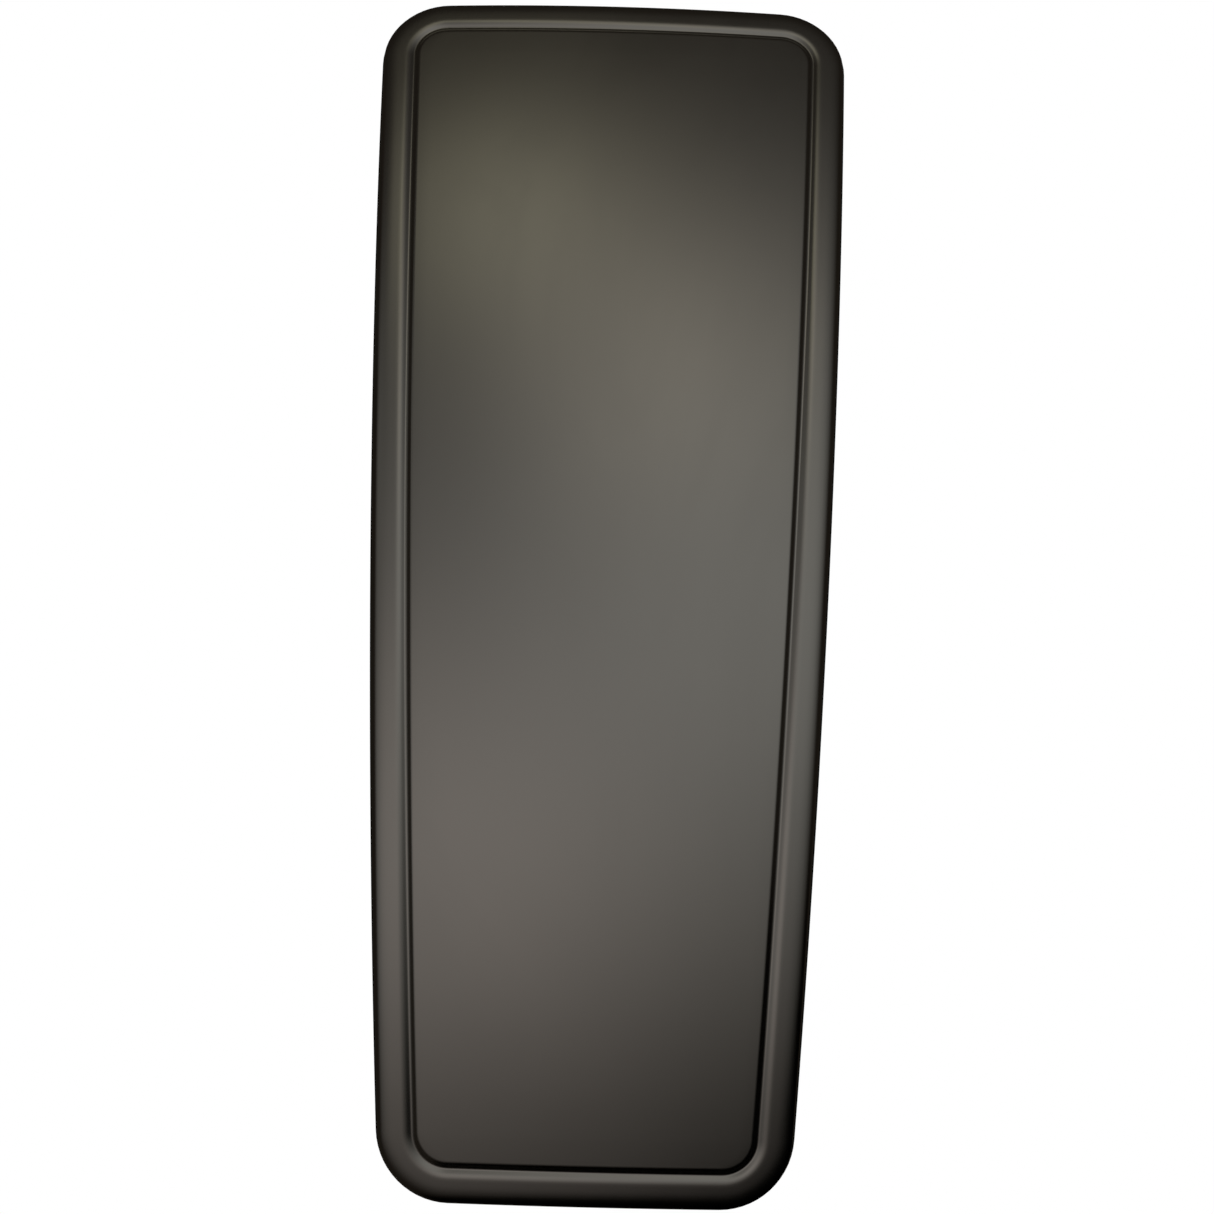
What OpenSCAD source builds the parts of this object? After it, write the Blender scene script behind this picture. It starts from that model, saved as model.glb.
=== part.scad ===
// Convex mirror head on a wall bracket that pans and tilts, with a hand knob to lock the tilt.
// Millimetres. +Z is up and the face looks along -Y. The origin is the centre of the wall
// plate's back face, so the wall is the plane y = 0.

/* [Face] */
// Height of the face
face_height = 610; // [560:5:700]
// Width of the face at its top
top_width = 245; // [230:1:290]
// Width of the face at its bottom
bottom_width = 194; // [188:1:225]
// Radius of the face's four corners
corner_radius = 33.5; // [30:0.5:40]
// Radius of the sphere that the face is pressed to
dome_radius = 1375; // [1250:25:1800]
// Thickness of the face's sheet
sheet = 2; // [1.5:0.1:2.2]
// Depth of the skirt behind the face
skirt_depth = 13; // [12:0.5:14]
// Width of the rim between the outline and the groove
rim_width = 13.5; // [11:0.5:14]
// Width of the groove around the raised panel
groove_width = 4.5; // [3.5:0.1:5]
// Depth of the groove
groove_depth = 1.7; // [1:0.1:1.8]

/* [Back pan] */
// Wall thickness of the back pan
pan_wall = 2.5; // [2:0.1:2.5]
// Depth of the back pan's tray behind the face
tray_depth = 24; // [22:0.5:26]
// Width of the flange around the tray
flange_width = 30; // [29:1:33]
// Height of the stiffening ribs
rib_height = 3; // [2:0.5:4]
// Width of the stiffening ribs
rib_width = 8; // [6:1:10]

/* [Bracket] */
// Distance from the wall to the pan axis
pan_reach = 28; // [26:1:34]
// Distance between the pan axis and the tilt axis
arm_reach = 160; // [140:5:200]
// Distance from the tilt axis to the back pan's pad
head_reach = 26; // [25:1:32]
// Outer diameter of the arm's tube
arm_d = 20; // [18:1:21]
// Hole spacing across the wall plate
wall_hole_x = 54; // [50:1:60]
// Hole spacing up the wall plate
wall_hole_z = 108; // [100:1:120]
// Diameter of the wall plate's holes
wall_hole_d = 7; // [5:0.5:8]

/* [Knob] */
// Diameter across the knob's lobes
knob_d = 38; // [34:1:42]
// Height of the knob
knob_h = 16; // [14:1:20]
// Number of lobes
knob_lobes = 5; // [5:1:7]

/* [Hidden] */
$fn = 48;
dome_fn = 360;
arc_steps = 12;
eps = 0.01;

// Gap between pieces that move past each other, and radial play of a running pivot
gap = 0.3;
play = 0.06;

// Places along Y
pan_y = -pan_reach;
tilt_y = pan_y - arm_reach;
pad_y = tilt_y - head_reach;
pad_depth = tray_depth + rib_height + 1;
apex_y = pad_y - pad_depth;

// The outline: its corner centres, and how far its sides lean
corner_z = face_height / 2 - corner_radius;
corner_top_x = top_width / 2 - corner_radius;
corner_bottom_x = bottom_width / 2 - corner_radius;
lean = atan((corner_top_x - corner_bottom_x) / (2 * corner_z));

// Back pan and its fixings
fit_gap = 0.2;
flange_front = skirt_depth - pan_wall;
tray_inset = sheet + flange_width;
tray_corner = 20;
pad_w = 84;
pad_h = 116;
pad_front = tray_depth - pan_wall - 0.5;
rib_rungs = [-205, -115, 115, 205];
rib_length = 440;
screw_inset = 24;
screw_rows = [-228, -76, 76, 228];
screw_end_x = 42;
screw_d = 4;
standoff_d = 7;
screw_head_d = 8;
screw_head_h = 2.5;
foam_size = [34, 80];
foam_places = [[-52, 160], [52, 160], [-40, -160], [40, -160]];

// Edge trim
trim_wall = 1.2;
trim_base = 2;
trim_lip = 6;
trim_cover = 8;

// Yoke, with its bolts
plate_t = 4;
plate_corner = 8;
ear_t = 5;
ear_r = 15;
yoke_ear_base = 26;
yoke_w = 76;
yoke_h = 96;
yoke_bolt_x = 26;
yoke_bolt_z = 34;
m6 = 6;
m6_flats = 10;
m6_head = 4;
m6_nut = 5;
washer_t = 1.6;
backing_t = 2;

// Pivots, on an M8 bolt and an M8 stud
pivot_d = 8;
m8_flats = 13;
m8_head = 5.3;
m8_nut = 6.5;
barrel_r = 11;
bush_r = 6;
bush_flange_r = 9.5;
bush_flange_t = 1.5;
bush_length = 12;
pan_half = 20;
tilt_half = 18;
pan_ear_z = pan_half + bush_flange_t + gap;
tilt_ear_x = tilt_half + bush_flange_t + gap;
thread_end = 2;
through = 60;

// Wall plate
wall_w = 80;
wall_h = 140;
ear_base_x = 22;
gusset_t = 4;
gusset_h = 26;
gusset_reach = 16;

// Knob
knob_x = tilt_ear_x + ear_t + washer_t + gap;
knob_hub_d = 20;
knob_foot = 4;
knob_scallop_r = 7;
knob_scallop_out = 3;
knob_cap_d = 16;
knob_cap_t = 1.5;

// Points of an arc around a centre
function arc(centre, r, from, to) =
    [for (i = [0 : arc_steps]) let (a = from + (to - from) * i / arc_steps)
        centre + r * [cos(a), sin(a)]];

// Centre of a right-hand corner that lies a distance in from the top or bottom edge
function corner_at(distance, end) =
    let (z = end * (face_height / 2 - distance))
    [(corner_top_x + corner_bottom_x) / 2 + z * tan(lean)
        - (distance - corner_radius) / cos(lean), z];

function flip(points) = [for (i = [len(points) - 1 : -1 : 0]) [-points[i].x, points[i].y]];

// The outline moved in by inset, with corners of radius r
function face_outline(inset, r) =
    let (right = concat(
        arc(corner_at(inset + r, -1), r, -90, -lean),
        arc(corner_at(inset + r, 1), r, -lean, 90)))
    concat(right, flip(right));

function rounded_rect(w, h, r) = concat(
    arc([w / 2 - r, h / 2 - r], r, 0, 90), arc([r - w / 2, h / 2 - r], r, 90, 180),
    arc([r - w / 2, r - h / 2], r, 180, 270), arc([w / 2 - r, r - h / 2], r, 270, 360));

// Half the head's width at a height, a distance in from the outline
function side_x(inset, z) =
    (corner_top_x + corner_bottom_x) / 2 + z * tan(lean) + (corner_radius - inset) / cos(lean);

// Everything inside the dome's sphere, shrunk by depth
module ball(depth) {
    translate([0, apex_y + dome_radius, 0]) sphere(dome_radius - depth, $fn = dome_fn);
}

// The layer behind the face between two depths
module layer(front, back) {
    difference() {
        ball(front);
        ball(back);
    }
}

// The outline, as a prism right through the head
module outline_prism(inset, r = undef) {
    radius = is_undef(r) ? corner_radius - inset : r;
    extrude_y(apex_y - 10, apex_y + 80) polygon(face_outline(inset, radius));
}

// A flat shape in X and Z, extruded along Y
module extrude_y(from, to) {
    translate([0, to, 0]) rotate([90, 0, 0]) linear_extrude(to - from) children();
}

// A flat shape in Y and Z, extruded along X
module extrude_x(from, to) {
    translate([from, 0, 0]) rotate([90, 0, 90]) linear_extrude(to - from) children();
}

module rod_x(r, from, to, y = tilt_y, z = 0) {
    translate([from, y, z]) rotate([0, 90, 0]) cylinder(r = r, h = to - from);
}

module rod_y(r, from, to, x = 0, z = 0) {
    translate([x, to, z]) rotate([90, 0, 0]) cylinder(r = r, h = to - from);
}

module rod_z(r, from, to, y = pan_y) {
    translate([0, y, from]) cylinder(r = r, h = to - from);
}

// Puts a child on the dome, with z measured from its surface towards the sphere's centre
module on_dome(x, z) {
    rise = asin(z / dome_radius);
    turn = asin(x / (dome_radius * cos(rise)));
    translate([0, apex_y + dome_radius, 0]) rotate([-rise, 0, turn])
        translate([0, -dome_radius, 0]) rotate([-90, 0, 0]) children();
}

module at_screws() {
    for (side = [-1, 1]) {
        for (z = screw_rows) on_dome(side * side_x(screw_inset, z), z) children();
        for (end = [-1, 1])
            on_dome(side * screw_end_x, end * (face_height / 2 - screw_inset)) children();
    }
}

module at_yoke_bolts() {
    for (x = [-yoke_bolt_x, yoke_bolt_x], z = [-yoke_bolt_z, yoke_bolt_z])
        translate([x, 0, z]) children();
}

// A hexagon prism with its first end at z = 0
module hexagon(flats, h) {
    cylinder(d = flats / cos(30), h = h, $fn = 6);
}

module washer(outer_d, inner_d) {
    difference() {
        cylinder(d = outer_d, h = washer_t);
        translate([0, 0, -1]) cylinder(d = inner_d, h = washer_t + 2);
    }
}

// A flanged bush: its flange's outer face is at z = 0 and its sleeve runs down from it
module bush() {
    difference() {
        union() {
            translate([0, 0, -bush_flange_t]) cylinder(r = bush_flange_r, h = bush_flange_t);
            translate([0, 0, -bush_flange_t - bush_length]) cylinder(r = bush_r, h = bush_length + eps);
        }
        translate([0, 0, -bush_flange_t - bush_length - 1])
            cylinder(r = pivot_d / 2 + play, h = bush_flange_t + bush_length + 2);
    }
}

module mirror_face() {
    color([0.37, 0.36, 0.33]) difference() {
        intersection() {
            ball(0);
            outline_prism(0);
        }
        ball(skirt_depth);
        difference() {
            outline_prism(rim_width);
            outline_prism(rim_width + groove_width);
            ball(groove_depth);
        }
        difference() {
            intersection() {
                ball(sheet);
                outline_prism(sheet);
            }
            difference() {
                outline_prism(rim_width - sheet);
                outline_prism(rim_width + groove_width + sheet);
                ball(sheet + groove_depth);
            }
        }
    }
}

module edge_trim() {
    color([0.04, 0.04, 0.04]) difference() {
        intersection() {
            outline_prism(-trim_wall);
            layer(skirt_depth - trim_lip, skirt_depth + trim_base);
        }
        intersection() {
            outline_prism(0);
            layer(skirt_depth - trim_lip - 1, skirt_depth);
        }
        outline_prism(trim_cover);
    }
}

module standoffs() {
    color([0.7, 0.7, 0.7]) at_screws() difference() {
        translate([0, 0, sheet]) cylinder(d = standoff_d, h = flange_front - sheet);
        translate([0, 0, sheet + 1]) cylinder(d = screw_d + 0.1, h = flange_front);
    }
}

module foam_pads() {
    color([0.25, 0.25, 0.26]) for (p = foam_places) intersection() {
        layer(sheet, tray_depth - pan_wall);
        translate([p.x - foam_size.x / 2, apex_y - 10, p.y - foam_size.y / 2])
            cube([foam_size.x, 80, foam_size.y]);
    }
}

// The bars of the back pan's ribs, before they are cut to the tray's curve
module rib_bars() {
    for (side = [-1, 1])
        translate([side * (pad_w + rib_width) / 2 - rib_width / 2, apex_y, -rib_length / 2])
            cube([rib_width, 80, rib_length]);
    for (z = rib_rungs)
        translate([-pad_w / 2 - rib_width, apex_y, z - rib_width / 2])
            cube([pad_w + 2 * rib_width, 80, rib_width]);
}

module back_pan() {
    color([0.11, 0.11, 0.12]) difference() {
        union() {
            difference() {
                union() {
                    intersection() {
                        outline_prism(sheet + fit_gap);
                        layer(flange_front, skirt_depth);
                    }
                    intersection() {
                        outline_prism(tray_inset, tray_corner);
                        layer(flange_front, tray_depth);
                    }
                }
                intersection() {
                    outline_prism(tray_inset + pan_wall, tray_corner - pan_wall);
                    layer(flange_front - 1, tray_depth - pan_wall);
                }
            }
            extrude_y(apex_y + pad_front, pad_y) polygon(rounded_rect(pad_w, pad_h, plate_corner));
            intersection() {
                rib_bars();
                layer(tray_depth - 1, tray_depth + rib_height);
            }
        }
        at_yoke_bolts() rod_y(m6 / 2 + 0.3, apex_y + pad_front - 1, pad_y + 5);
        at_screws() translate([0, 0, flange_front - 1]) cylinder(d = screw_d + 0.4, h = pan_wall + 2);
    }
}

module pan_screws() {
    color([0.75, 0.75, 0.76]) at_screws() {
        translate([0, 0, skirt_depth]) cylinder(d = screw_head_d, h = screw_head_h);
        translate([0, 0, sheet + 2]) cylinder(d = screw_d, h = skirt_depth - sheet - 2 + eps);
    }
}

module backing_plate() {
    color([0.72, 0.72, 0.74]) difference() {
        extrude_y(apex_y + pad_front - backing_t, apex_y + pad_front)
            polygon(rounded_rect(yoke_w, yoke_h, plate_corner));
        at_yoke_bolts() rod_y(m6 / 2 + 0.3, apex_y, pad_y);
    }
}

module plate_nuts() {
    color([0.75, 0.72, 0.6]) at_yoke_bolts()
        translate([0, apex_y + pad_front - backing_t, 0]) rotate([90, 0, 0]) difference() {
            hexagon(m6_flats, m6_nut);
            translate([0, 0, -1]) cylinder(d = m6 + 0.1, h = m6_nut + 2);
        }
}

module yoke() {
    color([0.09, 0.09, 0.1]) difference() {
        union() {
            extrude_y(pad_y, pad_y + plate_t) polygon(rounded_rect(yoke_w, yoke_h, plate_corner));
            for (x = [-tilt_ear_x - ear_t, tilt_ear_x]) extrude_x(x, x + ear_t) {
                translate([tilt_y, 0]) circle(ear_r);
                polygon([[tilt_y, ear_r], [pad_y + plate_t, yoke_ear_base], [pad_y + 1, yoke_ear_base],
                    [pad_y + 1, -yoke_ear_base], [pad_y + plate_t, -yoke_ear_base],
                    [tilt_y, -ear_r]]);
            }
        }
        rod_x(pivot_d / 2 + play, -through, through);
        at_yoke_bolts() rod_y(m6 / 2 + 0.3, pad_y - 1, pad_y + 10);
    }
}

module yoke_bolts() {
    color([0.75, 0.76, 0.78]) at_yoke_bolts() {
        translate([0, pad_y + plate_t + washer_t + m6_head, 0]) rotate([90, 0, 0])
            hexagon(m6_flats, m6_head);
        rod_y(m6 / 2, apex_y + pad_front - backing_t - m6_nut - thread_end,
            pad_y + plate_t + washer_t + eps);
    }
}

module yoke_washers() {
    color([0.78, 0.78, 0.8]) at_yoke_bolts()
        translate([0, pad_y + plate_t + washer_t, 0]) rotate([90, 0, 0]) washer(12, m6 + 0.4);
}

module tilt_nut() {
    color([0.75, 0.76, 0.78]) difference() {
        translate([-tilt_ear_x - ear_t - m8_nut, tilt_y, 0]) rotate([0, 90, 0])
            hexagon(m8_flats, m8_nut);
        rod_x(pivot_d / 2 + play, -through, 0);
    }
}

module tilt_washer() {
    color([0.78, 0.78, 0.8]) translate([tilt_ear_x + ear_t, tilt_y, 0]) rotate([0, 90, 0])
        washer(16, pivot_d + 2 * play);
}

module tilt_knob() {
    color([0.07, 0.07, 0.07]) translate([knob_x, tilt_y, 0]) rotate([0, 90, 0]) difference() {
        union() {
            cylinder(d = knob_hub_d, h = knob_h);
            translate([0, 0, knob_foot]) difference() {
                cylinder(d = knob_d, h = knob_h - knob_foot);
                for (i = [0 : knob_lobes - 1]) rotate(360 * i / knob_lobes)
                    translate([knob_d / 2 + knob_scallop_out, 0, -1]) cylinder(r = knob_scallop_r, h = knob_h);
            }
        }
        translate([0, 0, -1]) cylinder(d = pivot_d, h = knob_h - knob_foot + 1);
        translate([0, 0, knob_h - knob_cap_t]) cylinder(d = knob_cap_d, h = knob_cap_t + 1);
    }
}

module knob_cap() {
    color([0.15, 0.15, 0.16]) rod_x(knob_cap_d / 2, knob_x + knob_h - knob_cap_t, knob_x + knob_h);
}

module tilt_stud() {
    color([0.75, 0.76, 0.78])
        rod_x(pivot_d / 2, -tilt_ear_x - ear_t - m8_nut - thread_end, knob_x + knob_h - knob_foot);
}

module tilt_barrel() {
    color([0.09, 0.09, 0.1]) difference() {
        rod_x(barrel_r, -tilt_half, tilt_half);
        rod_x(bush_r, -tilt_half - 1, tilt_half + 1);
    }
}

module tilt_bushes() {
    color([0.9, 0.9, 0.86]) for (side = [-1, 1])
        translate([side * (tilt_half + bush_flange_t), tilt_y, 0]) rotate([0, side * 90, 0]) bush();
}

module arm_tube() {
    color([0.09, 0.09, 0.1]) difference() {
        rod_y(arm_d / 2, tilt_y, pan_y);
        rod_y(arm_d / 2 - 2, tilt_y - 1, pan_y + 1);
        rod_x(barrel_r, -tilt_half, tilt_half);
        rod_z(barrel_r, -pan_half, pan_half);
    }
}

module pan_barrel() {
    color([0.09, 0.09, 0.1]) difference() {
        rod_z(barrel_r, -pan_half, pan_half);
        rod_z(bush_r, -pan_half - 1, pan_half + 1);
    }
}

module pan_bushes() {
    color([0.9, 0.9, 0.86]) for (side = [-1, 1])
        translate([0, pan_y, side * (pan_half + bush_flange_t)]) rotate([90 - side * 90, 0, 0]) bush();
}

module wall_plate() {
    color([0.09, 0.09, 0.1]) difference() {
        union() {
            extrude_y(-plate_t, 0) polygon(rounded_rect(wall_w, wall_h, plate_corner));
            for (z = [-pan_ear_z - ear_t, pan_ear_z]) translate([0, 0, z]) linear_extrude(ear_t) {
                translate([0, pan_y]) circle(ear_r);
                polygon([[-ear_r, pan_y], [-ear_base_x, -plate_t], [-ear_base_x, -1],
                    [ear_base_x, -1], [ear_base_x, -plate_t], [ear_r, pan_y]]);
            }
            for (side = [-1, 1]) extrude_x(-gusset_t / 2, gusset_t / 2)
                polygon([[-1, side * (pan_ear_z + 1)], [-gusset_reach, side * (pan_ear_z + 1)],
                    [-gusset_reach, side * (pan_ear_z + ear_t + 1)],
                    [-plate_t, side * (pan_ear_z + ear_t + gusset_h)],
                    [-1, side * (pan_ear_z + ear_t + gusset_h)]]);
        }
        rod_z(pivot_d / 2 + play, -through, through);
        for (x = [-wall_hole_x / 2, wall_hole_x / 2], z = [-wall_hole_z / 2, wall_hole_z / 2])
            rod_y(wall_hole_d / 2, -plate_t - 1, 1, x, z);
    }
}

module pan_bolt() {
    color([0.75, 0.76, 0.78]) {
        translate([0, pan_y, pan_ear_z + ear_t + washer_t]) hexagon(m8_flats, m8_head);
        rod_z(pivot_d / 2, -pan_ear_z - ear_t - washer_t - m8_nut - thread_end,
            pan_ear_z + ear_t + washer_t + eps);
    }
}

module pan_nut() {
    color([0.75, 0.76, 0.78]) difference() {
        translate([0, pan_y, -pan_ear_z - ear_t - washer_t - m8_nut]) hexagon(m8_flats, m8_nut);
        rod_z(pivot_d / 2 + play, -through, 0);
    }
}

module pan_washers() {
    color([0.78, 0.78, 0.8]) for (z = [pan_ear_z + ear_t, -pan_ear_z - ear_t - washer_t])
        translate([0, pan_y, z]) washer(16, pivot_d + 2 * play);
}

mirror_face();
edge_trim();
standoffs();
foam_pads();
back_pan();
pan_screws();
backing_plate();
plate_nuts();
yoke();
yoke_bolts();
yoke_washers();
tilt_nut();
tilt_washer();
tilt_knob();
knob_cap();
tilt_stud();
tilt_barrel();
tilt_bushes();
arm_tube();
pan_barrel();
pan_bushes();
wall_plate();
pan_bolt();
pan_nut();
pan_washers();
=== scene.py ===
"""Tall convex mirror head on a wall bracket that pans and tilts: its looks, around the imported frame.

Shapes are worked out in millimetres, in the frame's axes, and new_piece turns them into metres.
"""

import math

import bmesh
import bpy
from mathutils import Matrix, Vector
from mathutils.geometry import tessellate_polygon


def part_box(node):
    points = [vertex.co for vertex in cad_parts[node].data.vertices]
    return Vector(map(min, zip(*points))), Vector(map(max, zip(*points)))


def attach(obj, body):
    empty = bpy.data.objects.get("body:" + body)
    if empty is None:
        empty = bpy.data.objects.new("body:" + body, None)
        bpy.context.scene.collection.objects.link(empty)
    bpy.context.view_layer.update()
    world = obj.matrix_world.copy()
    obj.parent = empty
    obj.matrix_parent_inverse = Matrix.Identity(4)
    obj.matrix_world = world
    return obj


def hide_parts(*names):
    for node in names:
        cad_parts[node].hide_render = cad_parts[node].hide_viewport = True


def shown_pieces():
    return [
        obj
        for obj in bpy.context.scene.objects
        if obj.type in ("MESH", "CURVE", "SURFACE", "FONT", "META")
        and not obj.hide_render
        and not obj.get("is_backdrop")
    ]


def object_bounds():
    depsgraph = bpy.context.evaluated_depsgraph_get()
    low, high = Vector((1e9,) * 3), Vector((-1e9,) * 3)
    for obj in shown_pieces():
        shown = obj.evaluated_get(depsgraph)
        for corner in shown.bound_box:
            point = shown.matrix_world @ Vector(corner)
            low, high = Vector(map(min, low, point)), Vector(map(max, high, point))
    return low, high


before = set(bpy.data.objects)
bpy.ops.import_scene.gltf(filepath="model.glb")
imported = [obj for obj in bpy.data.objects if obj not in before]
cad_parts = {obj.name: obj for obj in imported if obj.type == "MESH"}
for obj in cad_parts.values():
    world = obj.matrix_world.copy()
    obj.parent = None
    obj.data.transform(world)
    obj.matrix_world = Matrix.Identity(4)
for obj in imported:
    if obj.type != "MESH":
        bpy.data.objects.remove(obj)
cad_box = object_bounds()

MM = 0.001


# ---------------------------------------------------------------- sizes from the frame
def span(node, axis):
    """Where a CAD node starts and ends along an axis."""
    low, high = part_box(node)
    i = "xyz".index(axis)
    return low[i] / MM, high[i] / MM


def middle(node, axis):
    return sum(span(node, axis)) / 2


APEX_Y = span("mirror_face", "y")[0]
HALF_HEIGHT = span("mirror_face", "z")[1]
TOP_HALF_WIDTH = span("mirror_face", "x")[1]
BOTTOM_HALF_WIDTH = 97
CORNER_RADIUS = 33.5
DOME_RADIUS = 1375
DOME_CENTRE_Y = APEX_Y + DOME_RADIUS
SHEET = 2
SKIRT_DEPTH = 13
GROOVE_DEPTH = 1.3

PAD_Y = span("yoke", "y")[0]
TILT_Y = middle("tilt_barrel", "y")
PAN_Y = middle("pan_barrel", "y")
PLATE = 4
EAR = 5
EAR_RADIUS = 15
PIVOT_RADIUS = 4
M6_RADIUS = 3
M6_FLATS = 10
M8_FLATS = 13


# ---------------------------------------------------------------- the camera
def place_camera(distance=618, drop=130.3, side=2.97, turn=-0.08, tilt=9.35, roll=-1.48, lens=39.53):
    """A camera in front of the face and below its middle, looking up at it."""
    data = bpy.data.cameras.new("camera")
    data.lens = lens
    data.clip_start = 0.01
    data.clip_end = 50
    camera = bpy.data.objects.new("camera", data)
    bpy.context.scene.collection.objects.link(camera)
    turned = (
        Matrix.Rotation(math.radians(turn), 4, "Z")
        @ Matrix.Rotation(math.radians(tilt), 4, "X")
        @ Matrix.Rotation(math.radians(roll), 4, "Y")
        @ Matrix.Rotation(math.radians(90), 4, "X")
    )
    camera.matrix_world = Matrix.Translation(Vector((side, APEX_Y - distance, -drop)) * MM) @ turned
    bpy.context.scene.camera = camera


place_camera()


# ---------------------------------------------------------------- node helpers
def connect(tree, value, socket):
    """Links a socket, or sets its value."""
    if isinstance(value, bpy.types.NodeSocket):
        tree.links.new(value, socket)
    else:
        socket.default_value = value


def add(tree, kind, settings=None, **inputs):
    """A node with its settings, and its inputs by name with _ for a space."""
    node = tree.nodes.new(kind)
    for name, value in (settings or {}).items():
        setattr(node, name, value)
    for name, value in inputs.items():
        connect(tree, value, node.inputs[name.replace("_", " ")])
    return node


def calculate(tree, operation, *values):
    """A Math node's result."""
    node = tree.nodes.new("ShaderNodeMath")
    node.operation = operation
    for value, socket in zip(values, node.inputs):
        connect(tree, value, socket)
    return node.outputs[0]


def own_place(tree):
    """Where a point is on the object, for the patterns of a finish."""
    return add(tree, "ShaderNodeTexCoord").outputs["Object"]


def blend_colours(tree, share, first, second):
    """A colour that goes from the first to the second as the share goes from 0 to 1."""
    node = tree.nodes.new("ShaderNodeMix")
    node.data_type = "RGBA"
    connect(tree, share, node.inputs[0])
    connect(tree, first, node.inputs[6])
    connect(tree, second, node.inputs[7])
    return node.outputs[2]


def remap(tree, value, low, high, new_low=0.0, new_high=1.0):
    node = add(tree, "ShaderNodeMapRange", {"interpolation_type": "SMOOTHSTEP"}, Value=value,
               From_Min=low, From_Max=high, To_Min=new_low, To_Max=new_high)
    return node.outputs[0]


def noise(tree, coordinates, scale, detail=3.0, roughness=0.5, distortion=0.0):
    return add(tree, "ShaderNodeTexNoise", Vector=coordinates, Scale=scale, Detail=detail,
               Roughness=roughness, Distortion=distortion).outputs[0]


def new_group(title, inputs, outputs):
    """A shader group with float sockets, its input node and its output node."""
    tree = bpy.data.node_groups.new(title, "ShaderNodeTree")
    for name, value in inputs.items():
        socket = tree.interface.new_socket(name=name, in_out="INPUT", socket_type="NodeSocketFloat")
        socket.default_value = value
    for name in outputs:
        tree.interface.new_socket(name=name, in_out="OUTPUT", socket_type="NodeSocketFloat")
    return tree, tree.nodes.new("NodeGroupInput").outputs, tree.nodes.new("NodeGroupOutput").inputs


# ---------------------------------------------------------------- effects that finishes share
def make_grain():
    """Fine texture: a slow change of tone, and the height of a fine grain."""
    scales = {"Cloud Scale": 20, "Grain Scale": 1500}
    tree, given, result = new_group("fine_grain", scales, ["Tone", "Height"])
    place = own_place(tree)
    cloud = noise(tree, place, given["Cloud Scale"], detail=4)
    grain = noise(tree, place, given["Grain Scale"], detail=2)
    tree.links.new(remap(tree, cloud, 0.3, 0.7), result["Tone"])
    tree.links.new(grain, result["Height"])
    return tree


def make_edge_wear():
    """Patches along the outer edges, from the edge value that new_piece stores on each mesh."""
    tree, given, result = new_group("edge_wear", {"Amount": 0.5, "Scale": 200}, ["Mask"])
    place = own_place(tree)
    edge = add(tree, "ShaderNodeAttribute", {"attribute_name": "edge"}).outputs["Fac"]
    patch = noise(tree, place, given["Scale"], detail=5, roughness=0.65)
    reach = calculate(tree, "MULTIPLY", edge, given["Amount"])
    worn = calculate(tree, "ADD", patch, reach)
    tree.links.new(remap(tree, worn, 0.95, 1.15), result["Mask"])
    return tree


def make_dust():
    """Dust that settles on what faces up."""
    tree, given, result = new_group("settled_dust", {"Amount": 0.3, "Scale": 60}, ["Mask"])
    place = own_place(tree)
    normal = add(tree, "ShaderNodeNewGeometry").outputs["Normal"]
    up = add(tree, "ShaderNodeSeparateXYZ", Vector=normal).outputs["Z"]
    patch = noise(tree, place, given["Scale"], detail=6, roughness=0.7)
    lying = calculate(tree, "MULTIPLY", remap(tree, up, 0.1, 0.95), remap(tree, patch, 0.3, 0.75))
    tree.links.new(calculate(tree, "MULTIPLY", lying, given["Amount"]), result["Mask"])
    return tree


def make_hand_marks():
    """Faint wiped streaks and smears, which change how glossy a finish is."""
    tree, given, result = new_group("hand_marks", {"Scale": 9, "Stretch": 0.35}, ["Mask"])
    place = own_place(tree)
    size = add(tree, "ShaderNodeCombineXYZ", X=1.0, Y=1.0, Z=given["Stretch"]).outputs[0]
    wiped = (0, math.radians(25), 0)
    drawn = add(tree, "ShaderNodeMapping", Vector=place, Scale=size, Rotation=wiped).outputs[0]
    smear = noise(tree, drawn, given["Scale"], detail=5, roughness=0.6, distortion=0.8)
    tree.links.new(remap(tree, smear, 0.35, 0.7), result["Mask"])
    return tree


GRAIN = make_grain()
EDGE_WEAR = make_edge_wear()
DUST = make_dust()
HAND_MARKS = make_hand_marks()


def effect(tree, group, **inputs):
    """One of the shared effects, with its own values."""
    return add(tree, "ShaderNodeGroup", {"node_tree": group}, **inputs).outputs


# ---------------------------------------------------------------- finishes
def new_finish(name, **constants):
    """A material with a Principled shader whose constant values are set on its own sockets."""
    material = bpy.data.materials.new(name)
    material.use_nodes = True
    shader = material.node_tree.nodes["Principled BSDF"]
    for socket, value in constants.items():
        shader.inputs[socket.replace("_", " ")].default_value = value
    return material, material.node_tree, shader.inputs


def raise_grain(tree, shader, height, distance, strength=1.0):
    bump = add(tree, "ShaderNodeBump", Height=height, Distance=distance * MM, Strength=strength)
    tree.links.new(bump.outputs[0], shader["Normal"])


def satin_metal():
    """The face's dark bronze-grey anodised sheet, with a fine tight grain."""
    material, tree, shader = new_finish("satin_bronze_metal", Metallic=1.0)
    grain = effect(tree, GRAIN, Cloud_Scale=7, Grain_Scale=1400)
    marks = effect(tree, HAND_MARKS, Scale=10, Stretch=0.4)
    wear = effect(tree, EDGE_WEAR, Amount=0.12, Scale=150)
    sheet = blend_colours(tree, grain["Tone"], (0.365, 0.357, 0.33, 1), (0.38, 0.37, 0.34, 1))
    tree.links.new(blend_colours(tree, wear["Mask"], sheet, (0.5, 0.49, 0.46, 1)), shader["Base Color"])
    tree.links.new(remap(tree, marks["Mask"], 0, 1, 0.235, 0.265), shader["Roughness"])
    raise_grain(tree, shader, grain["Height"], 0.006)
    return material


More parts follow.
